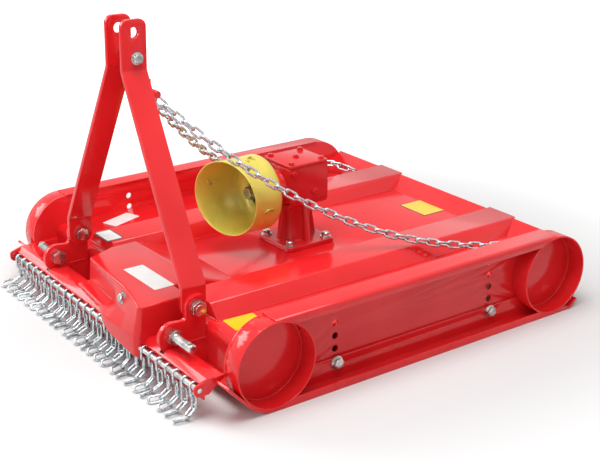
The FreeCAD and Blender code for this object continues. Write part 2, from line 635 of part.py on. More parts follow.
pocket(nose, "YZ_Plane", [("circle", "rod_y", "rod_z", "rod_width / 2 + 1")],
       "nose_near - 2 * nose_wall", "3 * nose_wall")

# ---- chain curtain ----------------------------------------------------------------------------
# bent bracket behind the chains: a lip under a flat top, notched for the hitch plates
bracket = new_body("curtain_bracket")
pad(bracket, "YZ_Plane", [[
    ("bracket_front", "bracket_lip"), ("bracket_front", "bracket_top - lip_slope"),
    ("bracket_front + lip_slope", "bracket_top"), ("bracket_rear", "bracket_top"),
    ("bracket_rear", "bracket_top - bracket_wall"),
    ("bracket_front + lip_slope + 1.5", "bracket_top - bracket_wall"),
    ("bracket_front + bracket_wall", "bracket_top - lip_slope - 1.5"),
    ("bracket_front + bracket_wall", "bracket_lip"),
]], "0", "2 * (web_face - web_plate)", symmetric=True)
for side, sign in SIDES:
    notch = "plate_wall + 4"
    start = along(sign, "plate_inner - 2", notch)
    pocket(bracket, "XY_Plane", [[
        (start, "bracket_front + bracket_wall"), (start, "bracket_rear + 1"),
        (start + " + " + notch, "bracket_rear + 1"),
        (start + " + " + notch, "bracket_front + bracket_wall"),
    ]], "bracket_lip - 1", "bracket_top - bracket_lip + 2")
    pad(bracket, "YZ_Plane", [[
        ("rod_y - 14", "rod_z - 14", "12"), ("rod_y - 14", "rod_z + 12", "8"),
        ("bracket_front + lip_slope", "bracket_top"), ("deck_front", "bracket_top"),
        ("deck_front", "bracket_top - 22"), ("bracket_rear", "bracket_top - 8"),
        ("rod_y + 22", "rod_z - 14", "4"),
    ], ("circle", "rod_y", "rod_z", "rod_width / 2")],
        along(sign, "web_face - web_plate - 6", "6"), "6")
pocket(bracket, "XZ_Plane", [[
    ("nose_far", "0"), ("nose_far", "deck_top"), ("nose_near", "deck_top"), ("nose_near", "0"),
]], "bracket_front - 10", "bracket_depth + 20")

single("curtain_rod", cylinder("CurtainRod", "x", "0 - rod_half", "rod_y", "rod_z",
                               "rod_width / 2", "2 * rod_half"), "rod_y")
strands = []
count = int(size("strand_count"))
for i in range(count):
    where = "strand_span * (%d / (strand_count - 1) - 0.5)" % i
    strands.append(box("Strand%02d" % (i + 1), where + " - link_across / 2",
                       "rod_y - link_wire", "0", "link_across", "2 * link_wire",
                       "rod_z - rod_width / 2 - 0.3"))
    strands.append(box("Laid%02d" % (i + 1), where + " - link_across / 2",
                       "0 - front_reach", "0", "link_across",
                       "front_reach + rod_y - link_wire", "2 * link_wire"))
group("curtain_chains", strands)

# ---- gearbox ----------------------------------------------------------------------------------
gear = new_body("gearbox_housing")
half = "flange_side / 2"
pad(gear, "XY_Plane", [[
    ("0 - " + half, "flange_y - " + half, "12"), (half, "flange_y - " + half, "12"),
    (half, "flange_y + " + half, "12"), ("0 - " + half, "flange_y + " + half, "12"),
]], "deck_top", "flange_wall")
pad(gear, "XY_Plane", [("circle", "0", "flange_y", "neck_radius")],
    "neck_foot", "deck_top - neck_foot + 1")
pad(gear, "XY_Plane", [("circle", "0", "flange_y", "neck_width / 2")],
    "deck_top + flange_wall - 1", "gear_low - deck_top - flange_wall + 2")
fin = [("0 - fin_foot", "deck_top + flange_wall - 1"), ("0 - fin_head", "gear_low + 1"),
       ("fin_head", "gear_low + 1"), ("fin_foot", "deck_top + flange_wall - 1")]
pad(gear, "XZ_Plane", [fin], "flange_y - fin_wall / 2", "fin_wall")
pad(gear, "YZ_Plane", [[(c[0] + " + flange_y", c[1]) for c in fin]], "0 - fin_wall / 2",
    "fin_wall")
pad(gear, "XZ_Plane", [[
    ("0 - gear_half", "gear_top"), ("0 - gear_half", "gear_low", "26"),
    ("gear_half", "gear_low", "26"), ("gear_half", "gear_top"),
]], "gear_front", "gear_back - gear_front")
pad(gear, "XZ_Plane", [("circle", "0", "pto_z", "boss_radius")],
    "boss_front", "gear_front - boss_front + 1")

side_half = "cover_side / 2"
lid = new_body("gearbox_cover", y="(gear_front + gear_back) / 2")
pad(lid, "XY_Plane", [[
    ("0 - " + side_half, "0 - " + side_half, "8"), (side_half, "0 - " + side_half, "8"),
    (side_half, side_half, "8"), ("0 - " + side_half, side_half, "8"),
]], "gear_top", "cover_wall")

screws = []
for i, (dx, dy) in enumerate(((-1, -1), (1, -1), (1, 1), (-1, 1))):
    screws.append(hexagon("CoverScrew%d" % i, "z", "%d * (cover_side / 2 - 14)" % dx,
                          "(gear_front + gear_back) / 2 + %d * (cover_side / 2 - 14)" % dy,
                          "gear_top + cover_wall", "13", "6"))
    screws.append(hexagon("FlangeBolt%d" % i, "z", "%d * (flange_side / 2 - 20)" % dx,
                          "flange_y + %d * (flange_side / 2 - 16)" % dy,
                          "deck_top + flange_wall", "19", "9"))
screws.append(hexagon("SidePlug", "x", "gear_half", "23", "286", "19", "7"))
group("gearbox_bolts", screws)

guard = new_body("pto_guard", z="pto_z")
mouth = "(guard_front - guard_radius * tan(guard_turn) - 2)"
turned = guard.newObject("PartDesign::Revolution", "Turned")
turned.Profile = sketch(guard, "YZ_Plane", [[
    (mouth, "guard_radius - guard_wall"), (mouth, "guard_radius"),
    ("boss_front - guard_bend", "guard_radius"),
    ("boss_front - 0.3 * guard_bend", "guard_radius - 0.3 * guard_bend"),
    ("boss_front", "guard_radius - guard_bend"), ("boss_front", "shaft_width / 2 + 6"),
    ("boss_front - guard_wall", "shaft_width / 2 + 6"),
    ("boss_front - guard_wall", "guard_radius - guard_bend - 1"),
    ("boss_front - guard_wall - 0.3 * guard_bend", "guard_radius - guard_wall - 0.3 * guard_bend"),
    ("boss_front - guard_bend - 1", "guard_radius - guard_wall"),
]])
turned.ReferenceAxis = (turned.Profile[0], ["H_Axis"])
turned.Angle = 360
doc.recompute()
reach = "(guard_radius + 8)"
pocket(guard, "XY_Plane", [[
    ("0 - " + reach, "guard_front - " + reach + " * tan(guard_turn)"),
    ("0 - " + reach, mouth + " - 9"), (reach, mouth + " - 9"),
    (reach, "guard_front + " + reach + " * tan(guard_turn)"),
]], "0 - " + reach, "2 * " + reach)

shaft = new_body("pto_shaft", z="pto_z")
pad(shaft, "XZ_Plane", [("circle", "0", "0", "shaft_width / 2")],
    "shaft_front", "boss_front - run_gap - shaft_front")
slot = pocket(shaft, "XZ_Plane", [[
    ("0 - spline_width / 2", "shaft_width / 2 - spline_depth"),
    ("spline_width / 2", "shaft_width / 2 - spline_depth"),
    ("spline_width / 2", "shaft_width"), ("0 - spline_width / 2", "shaft_width"),
]], "shaft_front", "70")
teeth = shaft.newObject("PartDesign::PolarPattern", "Splines")
teeth.Originals = [slot]
teeth.Axis = (slot.Profile[0], ["N_Axis"])
teeth.Angle = 360
teeth.Occurrences = 6
shaft.Tip = teeth

# ---- rotor ------------------------------------------------------------------------------------
hub_top = "neck_foot - run_gap"
group("rotor_hub", [cylinder("RotorHub", "z", "0", "flange_y", "bar_top", "hub_radius",
                             hub_top + " - bar_top"),
                    hexagon("RotorNut", "z", "0", "flange_y", "bar_top - bar_wall - 14", "46",
                            "14")])
bar = new_body("blade_carrier", y="flange_y")
pad(bar, "XY_Plane", [[
    ("0 - bar_half", "0 - bar_width / 2", "20"), ("bar_half", "0 - bar_width / 2", "20"),
    ("bar_half", "bar_width / 2", "20"), ("0 - bar_half", "bar_width / 2", "20"),
], ("circle", "blade_pivot", "0", "blade_bolt / 2"),
    ("circle", "0 - blade_pivot", "0", "blade_bolt / 2")],
    "bar_top - bar_wall", "bar_wall")
for name, sign in (("1", 1), ("2", -1)):
    blade = new_body("blade_" + name, x="%d * blade_pivot" % sign, y="flange_y")
    ends = ("0 - 34", "blade_reach") if sign > 0 else ("0 - blade_reach", "34")
    pad(blade, "XY_Plane", [[
        (ends[0], "0 - blade_width / 2", "10"), (ends[1], "0 - blade_width / 2", "10"),
        (ends[1], "blade_width / 2", "10"), (ends[0], "blade_width / 2", "10"),
    ], ("circle", "0", "0", "blade_bolt / 2 + pin_play")],
        "bar_top - bar_wall - run_gap - blade_wall", "blade_wall")
pins = []
for name, sign in (("1", 1), ("2", -1)):
    x = "%d * blade_pivot" % sign
    foot = "bar_top - bar_wall - 2 * run_gap - blade_wall"
    pins.append(cylinder("BladeBolt" + name, "z", x, "flange_y", foot + " - 8",
                         "blade_bolt / 2", "bar_top + 12 - (" + foot + ") + 8"))
    pins.append(hexagon("BladeBoltHead" + name, "z", x, "flange_y", foot + " - 8", "36", "8"))
    pins.append(hexagon("BladeBoltNut" + name, "z", x, "flange_y", "bar_top", "30", "14"))
group("blade_bolts", pins)

# ---- stay chains ------------------------------------------------------------------------------
for side, sign in SIDES:
    lug_x = "stay_end_x - 5" if sign > 0 else "0 - stay_end_x - 5"
    lug_y = "stay_end_y + stay_width / 4"
    single("chain_lug_" + side, box("ChainLug" + side.title(), lug_x, lug_y, "deck_top",
                                    "10", "24", "38"), lug_y)
    start = V(sign * size("stay_start_x"),
              size("pivot_y + cos(mast_lean) * (leg_width / 2 + lug_reach)"
                   " + sin(mast_lean) * lug_height"),
              size("pivot_z + cos(mast_lean) * lug_height"
                   " - sin(mast_lean) * (leg_width / 2 + lug_reach)"))
    end = V(sign * size("stay_end_x"), size("stay_end_y"), size("stay_end_z"))
    steps = 9
    slope = end - start
    slope.z -= 4 * size("stay_sag")
    start += slope.normalize() * (size("lug_pin") / 2 + 3)
    points = []
    for i in range(steps + 1):
        t = i / steps
        point = start + (end - start) * t
        point.z -= size("stay_sag") * 4 * t * (1 - t)
        points.append(point)
    edges = []
    last = points[0]
    for i in range(1, steps):
        into = (points[i - 1] - points[i])
        out = (points[i + 1] - points[i])
        half_turn = (math.pi - into.getAngle(out)) / 2
        back = 0.45 * min(into.Length, out.Length)
        a = points[i] + V(into).normalize() * back
        b = points[i] + V(out).normalize() * back
        toward = (V(into).normalize() + V(out).normalize()).normalize()
        radius = back / math.tan(half_turn)
        middle = points[i] + toward * (radius / math.cos(half_turn) - radius)
        edges.append(Part.LineSegment(last, a).toShape())
        edges.append(Part.Arc(a, middle, b).toShape())
        last = b
    edges.append(Part.LineSegment(last, points[-1]).toShape())
    path = Part.Wire(edges)
    aim = FreeCAD.Rotation(V(0, 0, 1), points[1] - points[0])
    rim = [points[0] + aim.multVec(V(math.cos(k * math.pi / 3), math.sin(k * math.pi / 3), 0)
                                   * (size("stay_width") / 2)) for k in range(7)]
    ring = Part.makePolygon(rim)
    chain = doc.addObject("Part::Feature", "StayChain" + side.title())
    chain.Shape = path.makePipeShell([ring], True, True)
    chain.Placement = FreeCAD.Placement(V(0, size("frame_shift"), 0), FreeCAD.Rotation())
    chain.Label = "stay_chain_" + side
    PIECES[chain.Label] = chain

# ---- check and write --------------------------------------------------------------------------
doc.recompute()
for obj in doc.Objects:
    if "Invalid" in obj.State or "Error" in obj.State:
        raise RuntimeError(obj.Label + " did not build")
for label, obj in PIECES.items():
    if obj.Shape.isNull() or not obj.Shape.isValid() or obj.Shape.Volume < 1:
        raise RuntimeError(label + " is not a sound solid")
os.makedirs("parts", exist_ok=True)
for label, obj in PIECES.items():
    obj.Shape.exportStep("parts/" + label + ".step")
print(len(PIECES), "pieces")
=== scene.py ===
import json
import math
import random

import bmesh
import bpy
from mathutils import Matrix, Vector

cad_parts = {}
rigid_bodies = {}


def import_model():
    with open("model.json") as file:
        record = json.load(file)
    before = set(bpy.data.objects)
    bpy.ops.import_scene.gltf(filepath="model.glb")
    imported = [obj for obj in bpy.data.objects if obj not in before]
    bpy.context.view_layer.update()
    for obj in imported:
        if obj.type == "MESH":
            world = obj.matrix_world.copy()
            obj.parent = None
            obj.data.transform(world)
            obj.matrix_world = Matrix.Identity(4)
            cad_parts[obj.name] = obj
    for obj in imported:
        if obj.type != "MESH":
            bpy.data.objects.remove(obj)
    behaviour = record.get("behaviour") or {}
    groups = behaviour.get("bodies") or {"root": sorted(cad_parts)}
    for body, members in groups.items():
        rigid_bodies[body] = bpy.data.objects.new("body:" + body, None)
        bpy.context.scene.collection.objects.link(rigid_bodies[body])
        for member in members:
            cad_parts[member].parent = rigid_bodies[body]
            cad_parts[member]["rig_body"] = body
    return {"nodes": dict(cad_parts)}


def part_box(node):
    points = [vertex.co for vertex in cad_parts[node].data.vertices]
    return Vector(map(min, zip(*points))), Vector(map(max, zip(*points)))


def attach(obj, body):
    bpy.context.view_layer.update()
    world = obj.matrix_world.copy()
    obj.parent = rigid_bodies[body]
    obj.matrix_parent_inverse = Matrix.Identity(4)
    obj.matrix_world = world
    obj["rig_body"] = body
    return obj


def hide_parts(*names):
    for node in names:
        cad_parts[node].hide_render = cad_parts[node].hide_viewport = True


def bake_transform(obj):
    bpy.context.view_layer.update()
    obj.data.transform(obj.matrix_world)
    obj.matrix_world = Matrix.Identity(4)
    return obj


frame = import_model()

nodes = frame["nodes"]
scene = bpy.context.scene
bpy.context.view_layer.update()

# --- Studio ---------------------------------------------------------------------------------
# A plain white floor under wide soft lamps, in a white surround that the paint mirrors. The
# floor keeps the machine's shadow and falls away to white around it.
scene.view_settings.view_transform = "Standard"
surround = bpy.data.worlds.new("Studio surround")
scene.world = surround
surround.use_nodes = True
tree = surround.node_tree
tree.nodes.clear()
sky_out = tree.nodes.new("ShaderNodeOutputWorld")
sky_mix = tree.nodes.new("ShaderNodeMixShader")
room = tree.nodes.new("ShaderNodeBackground")
white = tree.nodes.new("ShaderNodeBackground")
seen = tree.nodes.new("ShaderNodeLightPath")
mirrored = tree.nodes.new("ShaderNodeMath")
mirrored.operation = "MAXIMUM"
behind = tree.nodes.new("ShaderNodeMath")
behind.operation = "MAXIMUM"
gleam = tree.nodes.new("ShaderNodeMath")
gleam.operation = "MULTIPLY"
gleam.inputs[1].default_value = 0.72
room.inputs["Color"].default_value = (1.0, 0.99, 0.985, 1)
room.inputs["Strength"].default_value = 0.40
white.inputs["Color"].default_value = (1, 1, 1, 1)
white.inputs["Strength"].default_value = 1.0
tree.links.new(seen.outputs["Is Camera Ray"], mirrored.inputs[0])
tree.links.new(seen.outputs["Is Glossy Ray"], gleam.inputs[0])
tree.links.new(gleam.outputs[0], mirrored.inputs[1])
tree.links.new(mirrored.outputs[0], behind.inputs[0])
tree.links.new(seen.outputs["Is Transmission Ray"], behind.inputs[1])
tree.links.new(behind.outputs[0], sky_mix.inputs["Fac"])
tree.links.new(room.outputs[0], sky_mix.inputs[1])
tree.links.new(white.outputs[0], sky_mix.inputs[2])
tree.links.new(sky_mix.outputs[0], sky_out.inputs["Surface"])

floor_mesh = bpy.data.meshes.new("Studio floor")
floor_mesh.from_pydata([(-14, -14, 0), (14, -14, 0), (14, 14, 0), (-14, 14, 0)], [],
                       [(0, 1, 2, 3)])
floor = bpy.data.objects.new("Studio_floor", floor_mesh)
scene.collection.objects.link(floor)
floor_white = bpy.data.materials.new("White studio floor")
floor_white.use_nodes = True
tree = floor_white.node_tree
tree.nodes.clear()
floor_out = tree.nodes.new("ShaderNodeOutputMaterial")
floor_sum = tree.nodes.new("ShaderNodeAddShader")
floor_skin = tree.nodes.new("ShaderNodeBsdfDiffuse")
floor_glow = tree.nodes.new("ShaderNodeEmission")
floor_seen = tree.nodes.new("ShaderNodeLightPath")
floor_level = tree.nodes.new("ShaderNodeMath")
floor_level.operation = "MULTIPLY"
floor_spot = tree.nodes.new("ShaderNodeTexCoord")
floor_far = tree.nodes.new("ShaderNodeVectorMath")
floor_far.operation = "LENGTH"
floor_fade = tree.nodes.new("ShaderNodeMapRange")
floor_fade.inputs["From Min"].default_value = 0.70
floor_fade.inputs["From Max"].default_value = 2.2
floor_fade.inputs["To Min"].default_value = 0.0
floor_fade.inputs["To Max"].default_value = 1.0
floor_fade.interpolation_type = "SMOOTHSTEP"
floor_skin.inputs["Color"].default_value = (0.70, 0.70, 0.70, 1)
tree.links.new(floor_spot.outputs["Object"], floor_far.inputs[0])
tree.links.new(floor_far.outputs["Value"], floor_fade.inputs["Value"])
tree.links.new(floor_seen.outputs["Is Camera Ray"], floor_level.inputs[0])
tree.links.new(floor_fade.outputs["Result"], floor_level.inputs[1])
tree.links.new(floor_level.outputs[0], floor_glow.inputs["Strength"])
tree.links.new(floor_skin.outputs[0], floor_sum.inputs[0])
tree.links.new(floor_glow.outputs[0], floor_sum.inputs[1])
tree.links.new(floor_sum.outputs[0], floor_out.inputs["Surface"])
floor_mesh.materials.append(floor_white)

for name, spot, aim, across, power in (
    ("Overhead softbox", (0.5, -0.5, 3.3), (0, 0, 0.1), 2.4, 104),
    ("Left side softbox", (3.6, -0.8, 1.9), (0, 0, 0.2), 1.6, 9),
    ("Front softbox", (0.6, -3.8, 1.7), (0, 0, 0.2), 1.6, 26),
    ("Right front softbox", (-3.1, -2.0, 2.2), (0, -0.3, 0.1), 1.8, 60),
):
    lamp = bpy.data.lights.new(name, "AREA")
    lamp.shape = "SQUARE"
    lamp.size = across
    lamp.energy = power
    stand = bpy.data.objects.new(name, lamp)
    stand.location = spot
    stand.rotation_euler = (Vector(aim) - Vector(spot)).to_track_quat("-Z", "Y").to_euler()
    scene.collection.objects.link(stand)

lens = bpy.data.cameras.new("Camera")
lens.lens = 75.395
lens.sensor_width = 36
lens.shift_x = -0.00615
lens.shift_y = -0.01145
camera = bpy.data.objects.new("Camera", lens)
camera.location = (2.5999, -1.7705, 1.3702)
camera.rotation_euler = [math.radians(a) for a in (69.4421, 0.2918, 54.3134)]
scene.collection.objects.link(camera)
scene.camera = camera

# --- Deck sheet -----------------------------------------------------------------------------
# One pressed 5 mm steel sheet with rounded front bend and a turned-up rear. It is laser cut,
# folded and welded between the side plates, then sprayed with a thick glossy red enamel.
def sockets(group, kind, names, in_out="INPUT"):
    """Named sockets of one kind on a node group; a dictionary also gives their values."""
    for name in names:
        socket = group.interface.new_socket(name, in_out=in_out, socket_type="NodeSocket" + kind)
        if isinstance(names, dict):
            socket.default_value = names[name]


sprayed = bpy.data.node_groups.new("Sprayed film", "ShaderNodeTree")
sockets(sprayed, "Float", {"Peel Scale": 420.0, "Drift Scale": 5.0, "Grain Scale": 900.0,
                           "Grain Share": 0.0})
sockets(sprayed, "Color", {"Colour": (0.80, 0.02, 0.024, 1),
                           "Thin Colour": (0.70, 0.012, 0.016, 1)})
sockets(sprayed, "Color", ["Colour"], "OUTPUT")
sockets(sprayed, "Float", ["Roughness", "Height"], "OUTPUT")
into = sprayed.nodes.new("NodeGroupInput")
out = sprayed.nodes.new("NodeGroupOutput")
where = sprayed.nodes.new("ShaderNodeTexCoord")
peel = sprayed.nodes.new("ShaderNodeTexNoise")
drift = sprayed.nodes.new("ShaderNodeTexNoise")
grain = sprayed.nodes.new("ShaderNodeTexNoise")
tint = sprayed.nodes.new("ShaderNodeMix")
tint.data_type = "RGBA"
gloss = sprayed.nodes.new("ShaderNodeMapRange")
gloss.inputs["From Min"].default_value = 0.3
gloss.inputs["From Max"].default_value = 0.7
gloss.inputs["To Min"].default_value = 0.10
gloss.inputs["To Max"].default_value = 0.19
spread = sprayed.nodes.new("ShaderNodeMapRange")
spread.inputs["From Min"].default_value = 0.35
spread.inputs["From Max"].default_value = 0.65
relief = sprayed.nodes.new("ShaderNodeMix")
for texture, scale in ((peel, "Peel Scale"), (drift, "Drift Scale"), (grain, "Grain Scale")):
    sprayed.links.new(where.outputs["Object"], texture.inputs["Vector"])
    sprayed.links.new(into.outputs[scale], texture.inputs["Scale"])
sprayed.links.new(drift.outputs["Fac"], spread.inputs["Value"])
sprayed.links.new(spread.outputs["Result"], tint.inputs[0])
sprayed.links.new(into.outputs["Colour"], tint.inputs[6])
sprayed.links.new(into.outputs["Thin Colour"], tint.inputs[7])
sprayed.links.new(drift.outputs["Fac"], gloss.inputs["Value"])
sprayed.links.new(into.outputs["Grain Share"], relief.inputs[0])
sprayed.links.new(peel.outputs["Fac"], relief.inputs[2])
sprayed.links.new(grain.outputs["Fac"], relief.inputs[3])
sprayed.links.new(tint.outputs[2], out.inputs["Colour"])
sprayed.links.new(gloss.outputs["Result"], out.inputs["Roughness"])
sprayed.links.new(relief.outputs[0], out.inputs["Height"])


def coated(name, group, values, bump, depth, metallic=0.0):
    """A metal finish: the named group's colour, gloss and relief on a Principled shader."""
    finish = bpy.data.materials.new(name)
    finish.use_nodes = True
    tree = finish.node_tree
    shader = tree.nodes["Principled BSDF"]
    shader.inputs["Metallic"].default_value = metallic
    film = tree.nodes.new("ShaderNodeGroup")
    film.node_tree = group
    for socket, value in values.items():
        film.inputs[socket].default_value = value
    lift = tree.nodes.new("ShaderNodeBump")
    lift.inputs["Strength"].default_value = bump
    lift.inputs["Distance"].default_value = depth
    tree.links.new(film.outputs["Colour"], shader.inputs["Base Color"])
    tree.links.new(film.outputs["Roughness"], shader.inputs["Roughness"])
    tree.links.new(film.outputs["Height"], lift.inputs["Height"])
    tree.links.new(lift.outputs["Normal"], shader.inputs["Normal"])
    return finish


red_enamel = coated("Red enamel", sprayed, {}, 0.10, 0.0003)
red_enamel.node_tree.nodes["Principled BSDF"].inputs["IOR"].default_value = 1.48


def built(name, work, *finishes):
    """A smooth shaded object from a finished bmesh."""
    shape = bpy.data.meshes.new(name)
    work.to_mesh(shape)
    work.free()
    for finish in finishes:
        shape.materials.append(finish)
    shape.shade_smooth()
    piece = bpy.data.objects.new(name, shape)
    scene.collection.objects.link(piece)
    return piece


def rounded_off(piece, width, segments, angle, weighted=False):
    """A bevel on every edge sharper than an angle, or on the edges that carry a weight."""
    edge = piece.modifiers.new("Rounded off", "BEVEL")
    edge.width = width
    edge.segments = segments
    edge.limit_method = "WEIGHT" if weighted else "ANGLE"
    edge.angle_limit = math.radians(angle)
    return edge


def made_real(piece):
    """Keep what a piece's modifiers make of it as its own plain mesh."""
    bpy.context.view_layer.update()
    done = bpy.data.meshes.new_from_object(
        piece.evaluated_get(bpy.context.evaluated_depsgraph_get()))
    piece.modifiers.clear()
    piece.data = done


same_point = 0.000004


def broken_edges(node, finish, width, segments=2):
    """The CAD piece's own shape with its sheared edges rounded off, standing for the node."""
    work = bmesh.new()
    work.from_mesh(nodes[node].data)
    bmesh.ops.remove_doubles(work, verts=work.verts, dist=same_point)
    bmesh.ops.dissolve_limit(work, angle_limit=math.radians(0.4), verts=work.verts,
                             edges=work.edges)
    piece = built(node + "_finished", work, finish)
    rounded_off(piece, width, segments, 28).harden_normals = True
    made_real(piece)
    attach(piece, nodes[node]["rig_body"])
    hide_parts(node)


broken_edges("deck_sheet", red_enamel, 0.0012)

# --- Deck ribs ------------------------------------------------------------------------------
# Two folded channels of 4 mm sheet, closed in front and welded along both feet. They stiffen
# the deck and run out over its turned-up rear edge.
for side in ("left", "right"):
    broken_edges("deck_rib_" + side, red_enamel, 0.0012)


def skinned(work, rings):
    """Faces from each closed ring of vertices to the next."""
    for near, far in zip(rings, rings[1:]):
        for k in range(len(near)):
            j = (k + 1) % len(near)
            work.faces.new((near[k], near[j], far[j], far[k]))


def weld_bead(name, runs, radius, body, finish):
    """A run of weld under the paint: a low rippled bead along each run of points."""
    ripple = 0.0035
    hexagon = [(math.cos(k * math.tau / 6), math.sin(k * math.tau / 6)) for k in range(6)]
    bead = bmesh.new()
    for points in runs:
        points = [Vector(p) for p in points]
        total = sum((b - a).length for a, b in zip(points, points[1:]))
        steps = max(8, int(total / ripple))
        path = []
        for i in range(steps + 1):
            left = total * i / steps
            for a, b in zip(points, points[1:]):
                length = (b - a).length
                if left <= length + 1e-9:
                    path.append((a.lerp(b, left / length if length else 0), (b - a).normalized()))
                    break
                left -= length
        rings = []
        for i, (spot, ahead) in enumerate(path):
            side = ahead.cross(Vector((0.3, 0.5, 0.81))).normalized()
            up = side.cross(ahead).normalized()
            swell = radius * (1.0 if i % 2 else 0.78)
            rings.append([bead.verts.new(spot + (side * c + up * s) * swell)
                          for c, s in hexagon])
        skinned(bead, rings)
        bead.faces.new(list(reversed(rings[0])))
        bead.faces.new(rings[-1])
    bmesh.ops.recalc_face_normals(bead, faces=bead.faces)
    piece = built(name, bead, finish)
    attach(piece, body)


ramp = 0.062
seams = []
for side in ("left", "right"):
    low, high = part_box("deck_rib_" + side)
    foot = low.z + 0.0005
    for x in (low.x, high.x):
        seams.append([(x, low.y + 0.004, foot), (x, high.y - ramp, foot)])
    seams.append([(low.x, low.y, foot), (high.x, low.y, foot)])
weld_bead("Rib_welds", seams, 0.0022, "deck", red_enamel)

# --- Side plates ----------------------------------------------------------------------------
# Upright 6 mm plates with round ends, laser cut with two rows of holes that set the height of
# the skids. Everything else on the side is welded or bolted to them.
for side in ("left", "right"):
    broken_edges("side_web_" + side, red_enamel, 0.0008)

# --- Corner rings ---------------------------------------------------------------------------
# Short lengths of rolled strip, welded on edge around the plates' ends as bumpers.
for side in ("left", "right"):
    for end in ("front", "rear"):
        broken_edges("corner_ring_" + end + "_" + side, red_enamel, 0.0009)
seams = []
for side, sign in (("left", 1), ("right", -1)):
    for end in ("front", "rear"):
        low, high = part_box("corner_ring_" + end + "_" + side)
        centre_y = (low.y + high.y) / 2
        centre_z = (low.z + high.z) / 2
        bore = (high.z - low.z) / 2 - 0.0045
        x = sign * (min(abs(low.x), abs(high.x)) + 0.0005)
        seams.append([(x, centre_y + bore * math.cos(t * math.tau / 60),
                       centre_z + bore * math.sin(t * math.tau / 60)) for t in range(61)])
weld_bead("Ring_welds", seams, 0.0020, "deck", red_enamel)

# --- Rails ----------------------------------------------------------------------------------
# Folded strips that close the top of each side and turn down over the open channel.
for side in ("left", "right"):
    broken_edges("rail_" + side, red_enamel, 0.0009)

# --- Skids ----------------------------------------------------------------------------------
# Soles of 6 mm strip, bent up around the front rings, with an upright flange against the
# plate and a low outer lip. They bolt through the rows of holes, so they can be replaced.
for side in ("left", "right"):
    broken_edges("skid_" + side, red_enamel, 0.0009)

# --- Skid bolts -----------------------------------------------------------------------------
# Zinc plated M16 hexagon bolts with flat washers, two to a side.
plated = bpy.data.node_groups.new("Plated skin", "ShaderNodeTree")
sockets(plated, "Float", {"Mottle Scale": 60.0, "Brush Scale": 700.0, "Dullest": 0.38})
sockets(plated, "Color", {"Colour": (0.78, 0.80, 0.78, 1),
                          "Second Colour": (0.36, 0.40, 0.38, 1)})
sockets(plated, "Color", ["Colour"], "OUTPUT")
sockets(plated, "Float", ["Roughness", "Height"], "OUTPUT")
into = plated.nodes.new("NodeGroupInput")
out = plated.nodes.new("NodeGroupOutput")
where = plated.nodes.new("ShaderNodeTexCoord")
mottle = plated.nodes.new("ShaderNodeTexNoise")
brush = plated.nodes.new("ShaderNodeTexNoise")
tint = plated.nodes.new("ShaderNodeMix")
tint.data_type = "RGBA"
spread = plated.nodes.new("ShaderNodeMapRange")
spread.inputs["From Min"].default_value = 0.35
spread.inputs["From Max"].default_value = 0.68
dull = plated.nodes.new("ShaderNodeMapRange")
dull.inputs["From Min"].default_value = 0.25
dull.inputs["From Max"].default_value = 0.75
dull.inputs["To Min"].default_value = 0.16
for texture, scale in ((mottle, "Mottle Scale"), (brush, "Brush Scale")):
    plated.links.new(where.outputs["Object"], texture.inputs["Vector"])
    plated.links.new(into.outputs[scale], texture.inputs["Scale"])
plated.links.new(mottle.outputs["Fac"], spread.inputs["Value"])
plated.links.new(spread.outputs["Result"], tint.inputs[0])
plated.links.new(into.outputs["Colour"], tint.inputs[6])
plated.links.new(into.outputs["Second Colour"], tint.inputs[7])
plated.links.new(brush.outputs["Fac"], dull.inputs["Value"])
plated.links.new(into.outputs["Dullest"], dull.inputs["To Max"])
plated.links.new(tint.outputs[2], out.inputs["Colour"])
plated.links.new(dull.outputs["Result"], out.inputs["Roughness"])
plated.links.new(brush.outputs["Fac"], out.inputs["Height"])

bright_zinc = coated("Bright zinc plate", plated, {}, 0.05, 0.0002, metallic=1.0)

# One bolt is a chamfered hexagon on a washer, set at every point that it is given.
bolting = bpy.data.node_groups.new("Hexagon bolts", "GeometryNodeTree")
sockets(bolting, "Geometry", ["Geometry"])
sockets(bolting, "Float", ["Across Flats", "Head Height", "Washer Radius", "Washer Height"])
sockets(bolting, "Vector", ["Direction"])
sockets(bolting, "Material", ["Finish"])
sockets(bolting, "Geometry", ["Geometry"], "OUTPUT")
gn = bolting.nodes
gl = bolting.links
into = gn.new("NodeGroupInput")
out = gn.new("NodeGroupOutput")


def worked(tree, operation, *feeds):
    """A Math node in a geometry tree, fed by sockets or numbers."""
    node = tree.nodes.new("ShaderNodeMath")
    node.operation = operation
    for slot_number, feed in enumerate(feeds):
        if isinstance(feed, (int, float)):
            node.inputs[slot_number].default_value = feed
        else:
            tree.links.new(feed, node.inputs[slot_number])
    return node.outputs[0]


def at_height(tree, mesh_socket, height):
    """The mesh lifted along Z by a height socket."""
    lift = tree.nodes.new("ShaderNodeCombineXYZ")
    tree.links.new(height, lift.inputs["Z"])
    move = tree.nodes.new("GeometryNodeTransform")
    tree.links.new(mesh_socket, move.inputs["Geometry"])
    tree.links.new(lift.outputs[0], move.inputs["Translation"])
    return move.outputs[0]


